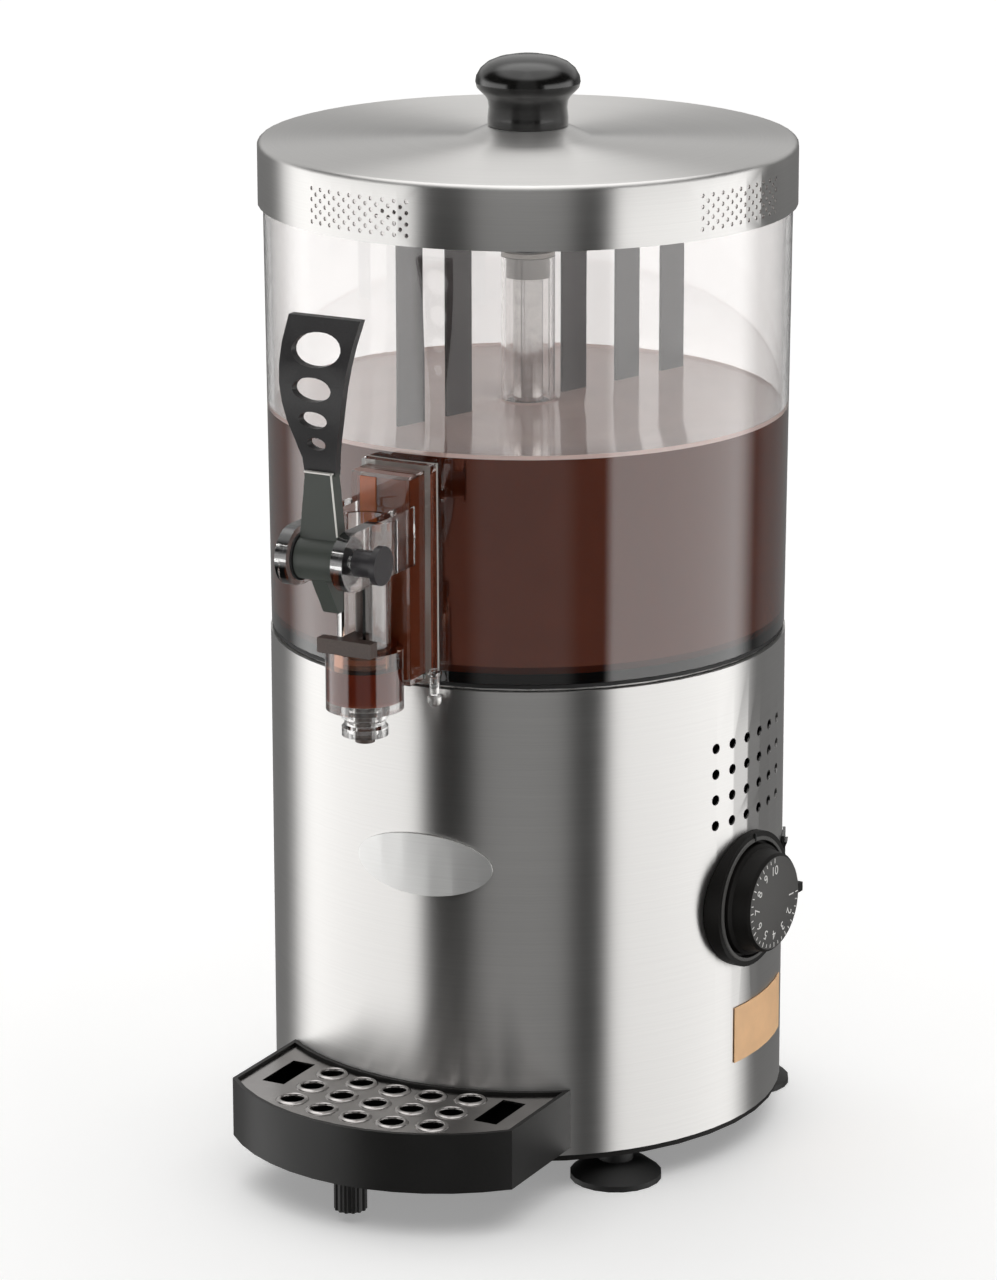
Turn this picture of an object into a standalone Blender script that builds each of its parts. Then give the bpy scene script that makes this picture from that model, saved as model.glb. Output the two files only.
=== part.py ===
"""Hot chocolate dispenser: steel base, clear tank with a lever tap, stirrer, lid and drip tray.

Lengths are metres and +Z is up. Every piece is modelled around the axis of the tank, with the
tap at -Y and the thermostat at +X, and then shifted so that the origin is under the middle of
the bounding box.
"""

from math import cos, degrees, pi, radians, sin, sqrt

import bpy
from mathutils import Matrix, Vector

# Clearances that all pieces share
FIT = 0.0003
RUN = 0.0005
CUT = 0.002
CLOSE = 0.0001
MERGE = 0.00001
WELD = 0.000001
STEPS = 40
FINE_STEPS = 64
SMALL_STEPS = 20

# Base housing, a rolled steel sheet with its top edge turned in
BODY_R = 0.125
BODY_BOTTOM = 0.018
BODY_H = 0.2285
BODY_SHEET = 0.001
BODY_LIP = 0.0085
BODY_TOP = BODY_BOTTOM + BODY_H
BODY_INNER_R = BODY_R - BODY_SHEET

# Base pan under the housing
PAN_SHEET = 0.0025
PAN_INSET = 0.0006
PAN_RIM_H = 0.012
PAN_RIM_SHEET = 0.0016
PAN_TOP = BODY_BOTTOM - FIT
PAN_BOTTOM = PAN_TOP - PAN_SHEET

# Suction feet
FOOT_R = 0.022
FOOT_LIP_H = 0.0028
FOOT_NECK_R = 0.0085
FOOT_DOME_H = 0.0095
FOOT_HOLLOW_H = 0.0012
FOOT_RING_INSET = 0.013
FOOT_RING_R = BODY_R - FOOT_RING_INSET
FOOT_AZIMUTH = 49.5
FOOT_STEP_SHARES = (0.68, 0.72, 0.60)
FOOT_NAMES = ("front_right", "rear_right", "rear_left", "front_left")

# Water bath that heats the tank from below
BATH_INSET = 0.017
BATH_R = BODY_R - BATH_INSET
BATH_SHEET = 0.001
BATH_DEPTH = 0.044
BATH_RIM_INSET = 0.0025
BATH_TUBE_R = 0.0093
BATH_TUBE_RISE = 0.0115
BATH_RIM_Z = BODY_TOP + FIT + BATH_SHEET
BATH_FLOOR_Z = BATH_RIM_Z - BATH_DEPTH

# Tubular heating element in the bath
HEATER_INSET = 0.033
HEATER_RING_R = BATH_R - HEATER_INSET
HEATER_TUBE_R = 0.0035
HEATER_RISE = 0.012
HEATER_LEG_GAP = 0.030
HEATER_LEG_OUT = 0.016
HEATER_NUT_R = 0.0075
HEATER_NUT_H = 0.006

# Rubber ring between the bath rim and the tank
GASKET_H = 0.0018
GASKET_W = 0.0070
GASKET_Z = BATH_RIM_Z + FIT

# Clear tank with its middle column
TANK_INSET = 0.0005
TANK_DRAFT = 0.0020
TANK_R = BODY_R - TANK_INSET
TANK_RIM_R = TANK_R + TANK_DRAFT
TANK_WALL = 0.003
TANK_FLOOR = 0.004
TANK_Z = GASKET_Z + GASKET_H + FIT
COLUMN_R = 0.013
COLUMN_WALL = 0.0022
TANK_FLOOR_Z = TANK_Z + TANK_FLOOR
COLUMN_INNER_R = COLUMN_R - COLUMN_WALL

# Lid, a pressed steel sheet with vent patches in the skirt
LID_OVER = 0.0022
LID_R = TANK_RIM_R + LID_OVER
LID_RISE = 0.2346
LID_Z = TANK_Z + LID_RISE
COLUMN_DROP = 0.0568
COLUMN_TOP = LID_Z - COLUMN_DROP
LID_SKIRT_H = 0.0300
LID_ROUND = 0.0025
LID_SHEET = 0.0009
LID_CONE_R = 0.0305
LID_CONE_TOP_R = 0.0198
LID_CONE_H = 0.0058
LID_HOLE_R = 0.0030
ARC_POINTS = 3

# Lid knob
KNOB_R = 0.0250
KNOB_NECK_R = 0.0192
KNOB_H = 0.0335
KNOB_TOP_SHARES = (
    (0.32, 0.990),
    (0.58, 0.950),
    (0.77, 0.890),
    (0.91, 0.800),
    (0.985, 0.700),
    (1.0, 0.620),
    (0.975, 0.540),
    (0.90, 0.480),
)
KNOB_NECK_SHARES = ((1.07, 0.425), (1.0, 0.360), (0.975, 0.260), (1.0, 0.120))
KNOB_BORE_R = 0.0026
KNOB_BORE_H = 0.014
KNOB_SCREW_R = 0.0023
KNOB_SCREW_HEAD_R = 0.0065
KNOB_SCREW_HEAD_H = 0.0032

# Stirrer: drive shaft in the column, hub, arm and hanging blades
STIR_AZIMUTH = 161.2
STIR_SHAFT_R = 0.0072
STIR_SHAFT_Z = 0.0135
STIR_SOCKET_H = 0.016
STIR_SOCKET_R = 0.0048
HUB_R = 0.0115
HUB_TIP_R = 0.0088
HUB_TIP_H = 0.0070
ARM_W = 0.016
ARM_T = 0.0025
ARM_END = 0.006
ARM_DROP = 0.0263
ARM_Z = LID_Z - ARM_DROP
ARM_NUT_R = 0.0078
ARM_NUT_H = 0.0070
BLADE_W = 0.0160
BLADE_T = 0.0015
BLADE_FLOOR_GAP = 0.0075
BLADE_SHARES = (-0.6145, -0.3655, 0.2450, 0.5382, 0.7912)
BLADE_RADII = [share * TANK_R for share in BLADE_SHARES]
COLUMN_BUSH_FLANGE = 0.0022
COLUMN_BUSH_H = 0.010

# Drive line under the bath
DRIVE_R = 0.0045
DRIVE_DOG_R = 0.0042
DRIVE_DOG_H = 0.015
SEAL_H = 0.006
MODULE = 0.00125
PINION_TEETH = 12
WHEEL_TEETH = 36
GEAR_FACE = 0.005
GEAR_SIDE_GAP = 0.0012
GEAR_BORE_R = 0.0026
IDLER_PIN_R = 0.0025
IDLER_AZIMUTH = 180.0
ROTOR_AZIMUTH = 240.0
TOOTH_SHARES = ((-0.275, -1.20), (-0.115, 0.95), (0.115, 0.95), (0.275, -1.20))
CENTRE_DISTANCE = MODULE * (PINION_TEETH + WHEEL_TEETH) / 2

# Gearbox and motor bracket
BRACKET_SHEET = 0.002
BRACKET_CLEAR = 0.0965
BRACKET_H = BODY_H - BRACKET_CLEAR
BRACKET_SIDE_GAP = 0.004
BRACKET_FLANGE = 0.014
BRACKET_LENGTH = 0.100
BOX_WALL = 0.002
BOX_SIDE_GAP = 0.0025
COVER_T = 0.002
BUSH_R = 0.0085
BUSH_FLANGE_R = 0.0110
BUSH_FLANGE_H = 0.0015

# Motor hanging under the bracket
MOTOR_R = 0.029
MOTOR_H = 0.050
MOTOR_WALL = 0.0015
ROTOR_R = 0.0140
ROTOR_SHAFT_R = 0.0025
STATOR_BORE_R = 0.0150
STATOR_H = 0.030
MOTOR_CAP_H = 0.003

# Thermostat at the side
DIAL_AZIMUTH = 84.5
DIAL_HEIGHT_SHARE = 0.48184
DIAL_Z = BODY_BOTTOM + DIAL_HEIGHT_SHARE * BODY_H
BEZEL_R = 0.0330
BEZEL_PROUD = 0.0040
BEZEL_DEPTH = 0.0130
BEZEL_BORE_R = 0.0090
BEZEL_WELL_GAP = 0.0015
BEZEL_WELL_DEPTH = 0.0026
DIAL_BASE_R = 0.0270
DIAL_FACE_R = 0.0240
DIAL_H = 0.0136
DIAL_NUB_W = 0.0045
DIAL_NUB_OUT = 0.0030
DIAL_NUB_H = 0.0070
DIAL_BORE_H = 0.010
DIAL_EDGE = 0.00125
DIAL_SKIRT_H = 0.00375
DIAL_SHOULDER_H = 0.005
SPINDLE_R = 0.0030
SPINDLE_SEAT_H = 0.012
THERMO_R = 0.0185
THERMO_H = 0.028

# Rocker switch beside the thermostat
SWITCH_AZIMUTH = 112.0
SWITCH_LIFT = 0.0064
SWITCH_Z = DIAL_Z + SWITCH_LIFT
SWITCH_W = 0.0130
SWITCH_TALL = 0.0150
SWITCH_DEPTH = 0.020
SWITCH_FLANGE = 0.0012
SWITCH_FLANGE_T = 0.0010
SWITCH_WALL = 0.0016
SWITCH_WELL = 0.0070
ROCKER_TILT = 8.0
ROCKER_T = 0.0030
ROCKER_SINK = 0.0012
ROCKER_HORN_SHARE = 1.3
ROCKER_SADDLE_SHARE = 0.5
ROCKER_KEEL_SHARE = 1.4
ROCKER_HEEL_SHARE = 0.9

# Housing vents over the thermostat
HOLE_AZIMUTH = 86.8
HOLE_COLUMNS = 6
HOLE_ROWS = 4
HOLE_STEP = 5.62
HOLE_ROW_PITCH = 0.0127
HOLE_GAP = 0.0091
HOLE_TOP_Z = DIAL_Z + BEZEL_R + HOLE_GAP + (HOLE_ROWS - 1) * HOLE_ROW_PITCH
HOLE_R = 0.0026

# Mains inlet
TERMINAL_W = 0.040
TERMINAL_D = 0.018
TERMINAL_H = 0.016
TERMINAL_INSET = 0.040
TERMINAL_Y = BODY_R - TERMINAL_INSET
TERMINAL_HOLE_R = 0.0030
TERMINAL_HOLES = 3
GLAND_AZIMUTH = 180.0
GLAND_Z = 0.045
GLAND_R = 0.0110
GLAND_THREAD_R = 0.0080
GLAND_BORE_R = 0.0038
GLAND_OUT = 0.012
GLAND_NUT_H = 0.005
GLAND_TIP_SHARES = (0.7, 0.6)

# Bare plate and bare label on the housing
BADGE_AZIMUTH = 4.0
BADGE_DROP = 0.0865
BADGE_Z = BODY_TOP - BADGE_DROP
BADGE_W = 0.0690
BADGE_H = 0.0300
BADGE_T = 0.0008
LABEL_AZIMUTH = 93.0
LABEL_W = 0.0570
LABEL_H = 0.0280
LABEL_GAP = 0.0202
LABEL_Z = DIAL_Z - BEZEL_R - LABEL_GAP - LABEL_H / 2
LABEL_T = 0.0004
PLATE_REACH = 0.030

# Drip tray
TRAY_WIDTH_SHARE = 0.6
TRAY_HALF_W = TRAY_WIDTH_SHARE * BODY_R
TRAY_SIDE_OUT = 0.0350
TRAY_BOW = 0.0320
TRAY_SIDE_Y = BODY_R + TRAY_SIDE_OUT
TRAY_FRONT_Y = TRAY_SIDE_Y + TRAY_BOW
TRAY_TOP = 0.0510
TRAY_H = 0.0290
TRAY_WALL = 0.0022
TRAY_FLOOR = 0.0025
TRAY_LEDGE = 0.0030
TRAY_LEDGE_DROP = 0.0030
TRAY_HOOK_SHARE = 0.52
TRAY_HOOK_X = TRAY_HOOK_SHARE * TRAY_HALF_W
TRAY_HOOK_W = 0.0180
TRAY_HOOK_T = 0.0030
TRAY_HOOK_REACH = 0.0300
TRAY_HOOK_ROOT = 0.0120
TRAY_ARC_POINTS = 12
PEG_R = 0.0078
PEG_RIBS = 14
PEG_RIB_H = 0.0008
PEG_INSET = 0.0125
PEG_Y = TRAY_FRONT_Y - PEG_INSET
PEG_LIFT = 0.0060
PEG_RIB_SHARES = (-0.3, 0.3)

# Drip grate
GRATE_T = 0.0012
GRATE_COLUMNS = 5
GRATE_ROWS = 3
GRATE_PITCH_SHARE = 0.24933
GRATE_PITCH = GRATE_PITCH_SHARE * TRAY_HALF_W
GRATE_ROW_PITCH = 0.0190
GRATE_ARC_INSET = 0.0084
GRATE_MID_OUT = 0.0305
GRATE_ARC_R = BODY_R - GRATE_ARC_INSET
GRATE_MID_Y = BODY_R + GRATE_MID_OUT
GRATE_HOLE_R = 0.0056
GRATE_SLOT_SHARE = 0.76
GRATE_SLOT_X = GRATE_SLOT_SHARE * TRAY_HALF_W
GRATE_SLOT_W = 0.0120
GRATE_SLOT_L = 0.0300
GRATE_SLOT_OUT = 0.0130
GRATE_SLOT_Y = BODY_R + GRATE_SLOT_OUT

# Tap body, moulded clear: flange, duct, barrel and two ears
DUCT_DEPTH = 0.0215
TAP_OUT = 0.0160
DUCT_LIFT = 0.0028
DUCT_H = 0.0990
DUCT_HALF_W = 0.0150
DUCT_FRONT_Y = TANK_R + DUCT_DEPTH
TAP_Y = DUCT_FRONT_Y + TAP_OUT
DUCT_BOTTOM = TANK_Z + DUCT_LIFT
DUCT_TOP = DUCT_BOTTOM + DUCT_H
DUCT_WALL = 0.0025
FLANGE_HALF_W = 0.0180
FLANGE_EDGE = 0.0022
FLANGE_T = 0.0030
TAP_GASKET_T = 0.0012
WINDOW_HALF_W = 0.0100
WINDOW_EDGE = 0.0060
BARREL_R = 0.0180
BARREL_DROP = 0.0077
BARREL_H = 0.0285
BARREL_BOTTOM = DUCT_BOTTOM - BARREL_DROP
BARREL_TOP = BARREL_BOTTOM + BARREL_H
BARREL_FLOOR = 0.0040
CHAMBER_R = 0.0150
CHAMBER_ROOF = 0.0088
CHAMBER_TOP = BARREL_TOP - CHAMBER_ROOF
NECK_R = 0.0125
NECK_DROP = 0.0170
NECK_TOP = DUCT_TOP - NECK_DROP
THROAT_R = 0.0102
OUTLET_R = 0.0075
SLOT_HALF_W = 0.0055
PORT_HALF_W = 0.0085
PORT_ROOF = 0.0015
PORT_H = 0.0075
PORT_TOP = CHAMBER_TOP - PORT_ROOF
PORT_BOTTOM = PORT_TOP - PORT_H

# Lever with its pivot
PIVOT_OUT = 0.0370
PIVOT_DROP = 0.0275
PIVOT_Y = TAP_Y + PIVOT_OUT
PIVOT_Z = DUCT_TOP - PIVOT_DROP
EAR_R = 0.0138
EAR_IN = 0.0114
EAR_T = 0.0059
PIN_R = 0.0030
PIN_HEAD_R = 0.0062
PIN_HEAD_L = 0.0105
PIN_RING_R = 0.0090
PIN_RING_L = 0.0030
PIN_TAIL = 0.0010
HUB_LEVER_R = 0.0103
HUB_LEVER_HALF = 0.0097
WASHER_T = 0.0010
LEVER_H = 0.1095
LEVER_T = 0.0046
LEVER_RISE_SHARES = (0.355, 0.42, 0.50, 0.58, 0.66, 0.74, 0.82, 0.90, 1.0)
LEVER_BOW_SHARES = (0.004, -0.004, -0.028, -0.050, -0.062, -0.062, -0.045, -0.012, 0.052)
LEVER_WIDTH_SHARES = (0.070, 0.078, 0.098, 0.121, 0.138, 0.150, 0.158, 0.163, 0.167)
LEVER_HOLE_SHARES = (
    (0.8785, 0.1142, 0.0676),
    (0.7215, 0.0904, 0.0502),
    (0.5936, 0.0658, 0.0365),
    (0.4886, 0.0438, 0.0274),
)
OVAL_STEPS = 24
SHANK_TOP_SHARE = 0.3653
SHANK_TOP_HALF = 0.0066
SHANK_FOOT_HALF = 0.0096
SHANK_T = 0.0078
TONGUE_L = 0.0270
TONGUE_BACK = 0.0090
TONGUE_ROOT = 0.0100
TONGUE_TIP = 0.0045
TONGUE_HALF = 0.0040

# Piston, its ring and the outlet collar
PISTON_TIP_R = 0.0046
PISTON_TIP_OUT = 0.0163
PISTON_TIP_Z = BARREL_BOTTOM - PISTON_TIP_OUT
PISTON_SEAL_R = 0.0095
PISTON_SEAL_T = 0.0032
PISTON_STEM_R = 0.0040
PISTON_HEAD_R = 0.0098
PISTON_HEAD_LIFT = 0.0010
PISTON_HEAD_Z = CHAMBER_TOP + PISTON_HEAD_LIFT
PISTON_HEAD_H = 0.0070
PISTON_GROOVE = 0.0020
PISTON_GROOVE_H = 0.0030
PISTON_ROD_DROP = 0.0170
CROSSBAR_LIFT = 0.0006
PISTON_ROD_TOP = NECK_TOP - PISTON_ROD_DROP
CROSSBAR_Z = BARREL_TOP + CROSSBAR_LIFT
CROSSBAR_H = 0.0070
CROSSBAR_HALF_W = 0.0140
CROSSBAR_T = 0.0060
CROSSBAR_NECK = 0.0042
COLLAR_R = 0.0108
COLLAR_BORE_R = 0.0055
COLLAR_H = 0.0125
COLLAR_WAIST = 0.0012
COLLAR_STEP_SHARES = (0.333, 0.433, 0.567, 0.667)


def clear_scene():
    for thing in list(bpy.data.objects):
        bpy.data.objects.remove(thing, do_unlink=True)


def collection(name):
    made = bpy.data.collections.new(name)
    bpy.context.scene.collection.children.link(made)
    return made


def material(name, colour, roughness, metallic=0.0, alpha=1.0):
    made = bpy.data.materials.new(name)
    made.use_nodes = True
    shader = made.node_tree.nodes["Principled BSDF"]
    shader.inputs["Base Color"].default_value = (*colour, 1.0)
    shader.inputs["Roughness"].default_value = roughness
    shader.inputs["Metallic"].default_value = metallic
    shader.inputs["Alpha"].default_value = alpha
    made.diffuse_color = (*colour, alpha)
    return made


def steel(name, shade=0.55, roughness=0.32):
    return material(name, (shade, shade, shade * 0.98), roughness, 1.0)


def clear(name):
    return material(name, (0.90, 0.92, 0.92), 0.05, 0.0, 0.35)


def black(name, shade=0.02, roughness=0.4):
    return material(name, (shade, shade, shade), roughness)


clear_scene()
PARTS = collection("parts")
CUTTERS = collection("cutters")


def empty(name, location=(0, 0, 0), rotation=(0, 0, 0), parent=None):
    made = bpy.data.objects.new(name, None)
    made.location = location
    made.rotation_euler = rotation
    made.parent = parent
    PARTS.objects.link(made)
    return made


MACHINE = empty("machine")


def side_empty(name, azimuth, height, parent=MACHINE):
    """An empty whose +Z points out of the machine at an azimuth from the front, +X to the right."""
    return empty(name, (0, 0, height), (pi / 2, 0, radians(azimuth)), parent)


def finish_object(thing, look, location, parent):
    thing.location = location
    thing.parent = parent
    thing.data.materials.clear()
    thing.data.materials.append(look)
    for group in list(thing.users_collection):
        group.objects.unlink(thing)
    PARTS.objects.link(thing)
    return thing


def turned(name, profile, look, location=(0, 0, 0), parent=MACHINE, steps=STEPS, closed=True):
    """Turns (radius, height) points around Z. The outer side runs from the top to the bottom."""
    mesh = bpy.data.meshes.new(name)
    count = len(profile)
    edges = [(i, i + 1) for i in range(count - 1)]
    if closed:
        edges.append((count - 1, 0))
    mesh.from_pydata([(r, 0, z) for r, z in profile], edges, [])
    thing = bpy.data.objects.new(name, mesh)
    PARTS.objects.link(thing)
    screw = thing.modifiers.new("turn", "SCREW")
    screw.axis = "Z"
    screw.angle = 2 * pi
    screw.steps = steps
    screw.render_steps = steps
    screw.use_merge_vertices = True
    screw.merge_threshold = MERGE
    return finish_object(thing, look, location, parent)


def block(name, size, centre, look, parent=MACHINE, bevel=0):
    bpy.ops.mesh.primitive_cube_add(size=size[0])
    thing = bpy.context.object
    thing.name = name
    thing.data.transform(Matrix.Diagonal((1, size[1] / size[0], size[2] / size[0], 1)))
    if bevel:
        edge = thing.modifiers.new("edges", "BEVEL")
        edge.width = bevel
        edge.segments = 2
    return finish_object(thing, look, centre, parent)


def rod(name, radius, depth, centre, look, parent=MACHINE, axis="Z", sides=SMALL_STEPS):
    bpy.ops.mesh.primitive_cylinder_add(vertices=sides, radius=radius, depth=depth)
    thing = bpy.context.object
    thing.name = name
    turn = {"X": Matrix.Rotation(pi / 2, 4, "Y"), "Y": Matrix.Rotation(pi / 2, 4, "X"), "Z": Matrix()}
    thing.data.transform(turn[axis])
    return finish_object(thing, look, centre, parent)


def slab(name, outline, thickness, look, location=(0, 0, 0), parent=MACHINE, plane="XY", holes=()):
    """A flat outline with a thickness. The plane names where the outline's two axes lie."""
    curve = bpy.data.curves.new(name, "CURVE")
    curve.dimensions = "2D"
    curve.fill_mode = "BOTH"
    curve.extrude = thickness / 2
    for loop in (outline, *holes):
        line = curve.splines.new("POLY")
        line.points.add(len(loop) - 1)
        for point, (x, y) in zip(line.points, loop):
            point.co = (x, y, 0, 1)
        line.use_cyclic_u = True
    thing = bpy.data.objects.new(name, curve)
    PARTS.objects.link(thing)
    bpy.context.view_layer.update()
    flat = bpy.data.meshes.new_from_object(thing)
    bpy.data.objects.remove(thing, do_unlink=True)
    solid = bpy.data.objects.new(name, flat)
    turns = {
        "XY": Matrix(),
        "XZ": Matrix.Rotation(pi / 2, 4, "X"),
        "YZ": Matrix.Rotation(pi / 2, 4, "Z") @ Matrix.Rotation(pi / 2, 4, "X"),
    }
    flat.transform(turns[plane])
    PARTS.objects.link(solid)
    weld(solid)
    return finish_object(solid, look, location, parent)


def weld(thing):
    joint = thing.modifiers.new("weld", "WELD")
    joint.merge_threshold = WELD
    return thing


def combine(thing, other, operation="DIFFERENCE"):
    """Cuts, joins or keeps the shared part of two solids, and files the second as a cutter."""
    for group in list(other.users_collection):
        group.objects.unlink(other)
    CUTTERS.objects.link(other)
    other.hide_render = True
    other.display_type = "WIRE"
    change = thing.modifiers.new(operation.lower(), "BOOLEAN")
    change.operation = operation
    change.solver = "EXACT"
    change.object = other
    return thing


TOOL = black("cutter")


def cut_block(thing, size, centre, parent=MACHINE):
    return combine(thing, block(thing.name + "_cut", size, centre, TOOL, parent))


def cut_rod(thing, radius, depth, centre, parent=MACHINE, axis="Z", sides=SMALL_STEPS):
    return combine(thing, rod(thing.name + "_cut", radius, depth, centre, TOOL, parent, axis, sides))


def sheet(points, thickness):
    """A closed profile: the outer line as given, and the same line moved inwards by a thickness."""
    inner = []
    for i, here in enumerate(points):
        here = Vector(here)
        before = (here - Vector(points[i - 1])).normalized() if i else None
        after = (Vector(points[i + 1]) - here).normalized() if i + 1 < len(points) else None
        first = before or after
        second = after or before
        side = Vector((first.y, -first.x)) + Vector((second.y, -second.x))
        side.normalize()
        reach = thickness / max(side.dot(Vector((first.y, -first.x))), 0.5)
        inner.append(tuple(here + side * reach))
    return list(points) + inner[::-1]


def arc(centre, radius, start, end, count):
    """Points on an arc, with the angles in degrees."""
    points = []
    for i in range(count + 1):
        angle = radians(start + (end - start) * i / count)
        points.append((centre[0] + radius * cos(angle), centre[1] + radius * sin(angle)))
    return points


def ring(inner_r, outer_r, bottom, top):
    return [(inner_r, top), (outer_r, top), (outer_r, bottom), (inner_r, bottom)]


def polar(radius, azimuth, height=0):
    """A place at a distance from the tank's axis, at an azimuth from the front."""
    return (radius * sin(radians(azimuth)), -radius * cos(radians(azimuth)), height)


def gear_outline(teeth):
    points = []
    pitch_r = MODULE * teeth / 2
    for i in range(teeth):
        for turn_share, rise_share in TOOTH_SHARES:
            angle = 2 * pi * (i + turn_share) / teeth
            radius = pitch_r + MODULE * rise_share
            points.append((radius * cos(angle), radius * sin(angle)))
    return points


def make_base():
    pan = [
        (0, PAN_TOP),
        (BODY_INNER_R - FIT - PAN_RIM_SHEET, PAN_TOP),
        (BODY_INNER_R - FIT - PAN_RIM_SHEET, PAN_TOP + PAN_RIM_H),
        (BODY_INNER_R - FIT, PAN_TOP + PAN_RIM_H),
        (BODY_INNER_R - FIT, PAN_TOP),
        (BODY_R - PAN_INSET, PAN_TOP),
        (BODY_R - PAN_INSET, PAN_BOTTOM),
        (0, PAN_BOTTOM),
    ]
    turned("base_pan", pan, black("pan_black"), closed=False)
    foot_top = PAN_BOTTOM - FIT
    shoulder_r, seat_r, hollow_r = [share * FOOT_R for share in FOOT_STEP_SHARES]
    foot = [
        (0, foot_top),
        (FOOT_NECK_R, foot_top),
        (FOOT_NECK_R, FOOT_DOME_H),
        (shoulder_r, FOOT_DOME_H - FOOT_LIP_H / 2),
        (FOOT_R, FOOT_LIP_H),
        (FOOT_R, 0),
        (seat_r, 0),
        (hollow_r, FOOT_HOLLOW_H),
        (0, FOOT_HOLLOW_H),
    ]
    turns = (FOOT_AZIMUTH, 180 - FOOT_AZIMUTH, 180 + FOOT_AZIMUTH, -FOOT_AZIMUTH)
    for name, azimuth in zip(FOOT_NAMES, turns):
        place = polar(FOOT_RING_R, azimuth)
        look = black("foot_rubber", 0.015, 0.5)
        turned("foot_" + name, foot, look, place, steps=SMALL_STEPS, closed=False)


def make_housing():
    line = [(BODY_R - BODY_LIP, BODY_TOP), (BODY_R, BODY_TOP), (BODY_R, BODY_BOTTOM)]
    shell = turned("housing_shell", sheet(line, BODY_SHEET), steel("housing_steel"), steps=FINE_STEPS)
    for column in range(HOLE_COLUMNS):
        azimuth = HOLE_AZIMUTH + (column - (HOLE_COLUMNS - 1) / 2) * HOLE_STEP
        for row in range(HOLE_ROWS):
            spot = side_empty("vent_axis", azimuth, HOLE_TOP_Z - row * HOLE_ROW_PITCH)
            cut_rod(shell, HOLE_R, 2 * CUT, (0, 0, BODY_R), spot, sides=10)
    dial_hole = side_empty("dial_hole", DIAL_AZIMUTH, DIAL_Z)
    cut_rod(shell, SPINDLE_R + 2 * RUN, 2 * CUT, (0, 0, BODY_R), dial_hole, sides=16)
    switch_hole = (SWITCH_W + 2 * FIT, SWITCH_TALL + 2 * FIT, SWITCH_DEPTH)
    cut_block(shell, switch_hole, (0, 0, BODY_R), side_empty("switch_hole", SWITCH_AZIMUTH, SWITCH_Z))
    gland_hole = side_empty("gland_hole", GLAND_AZIMUTH, GLAND_Z)
    cut_rod(shell, GLAND_THREAD_R + FIT, 2 * CUT, (0, 0, BODY_R), gland_hole, sides=24)


def wrapped_plate(name, azimuth, height, width, tall, thickness, look, oval):
    """A thin plate that lies on the round housing."""
    inner = BODY_R + FIT
    wide = side_empty(name + "_side", azimuth, height)
    plate = turned(name, ring(inner, inner + thickness, height - tall, height + tall), look, steps=FINE_STEPS)
    depth = 2 * PLATE_REACH
    if oval:
        shape = rod(name + "_shape", width / 2, depth, (0, 0, inner), TOOL, wide, sides=40)
        shape.data.transform(Matrix.Diagonal((1, tall / width, 1, 1)))
    else:
        shape = block(name + "_shape", (width, tall, depth), (0, 0, inner), TOOL, wide)
    return combine(plate, shape, "INTERSECT")


def make_plates():
    badge_look = material("badge_silver", (0.78, 0.80, 0.78), 0.3, 0.6)
    wrapped_plate("name_badge", BADGE_AZIMUTH, BADGE_Z, BADGE_W, BADGE_H, BADGE_T, badge_look, True)
    label_look = material("label_orange", (0.85, 0.42, 0.12), 0.5)
    wrapped_plate("side_label", LABEL_AZIMUTH, LABEL_Z, LABEL_W, LABEL_H, LABEL_T, label_look, False)


def make_bath():
    tube_top = TANK_FLOOR_Z + BATH_TUBE_RISE
    line = [
        (BATH_TUBE_R, tube_top),
        (BATH_TUBE_R, BATH_FLOOR_Z),
        (BATH_R, BATH_FLOOR_Z),
        (BATH_R, BATH_RIM_Z),
        (BODY_R - BATH_RIM_INSET, BATH_RIM_Z),
    ]
    bath = turned("bath_pan", sheet(line, BATH_SHEET), steel("bath_steel", 0.5, 0.35))
    gasket_outer = BODY_R - PAN_INSET
    gasket = ring(gasket_outer - GASKET_W, gasket_outer, GASKET_Z, GASKET_Z + GASKET_H)
    turned("tank_gasket", gasket, black("gasket_rubber", 0.015, 0.6))
    return bath


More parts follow.
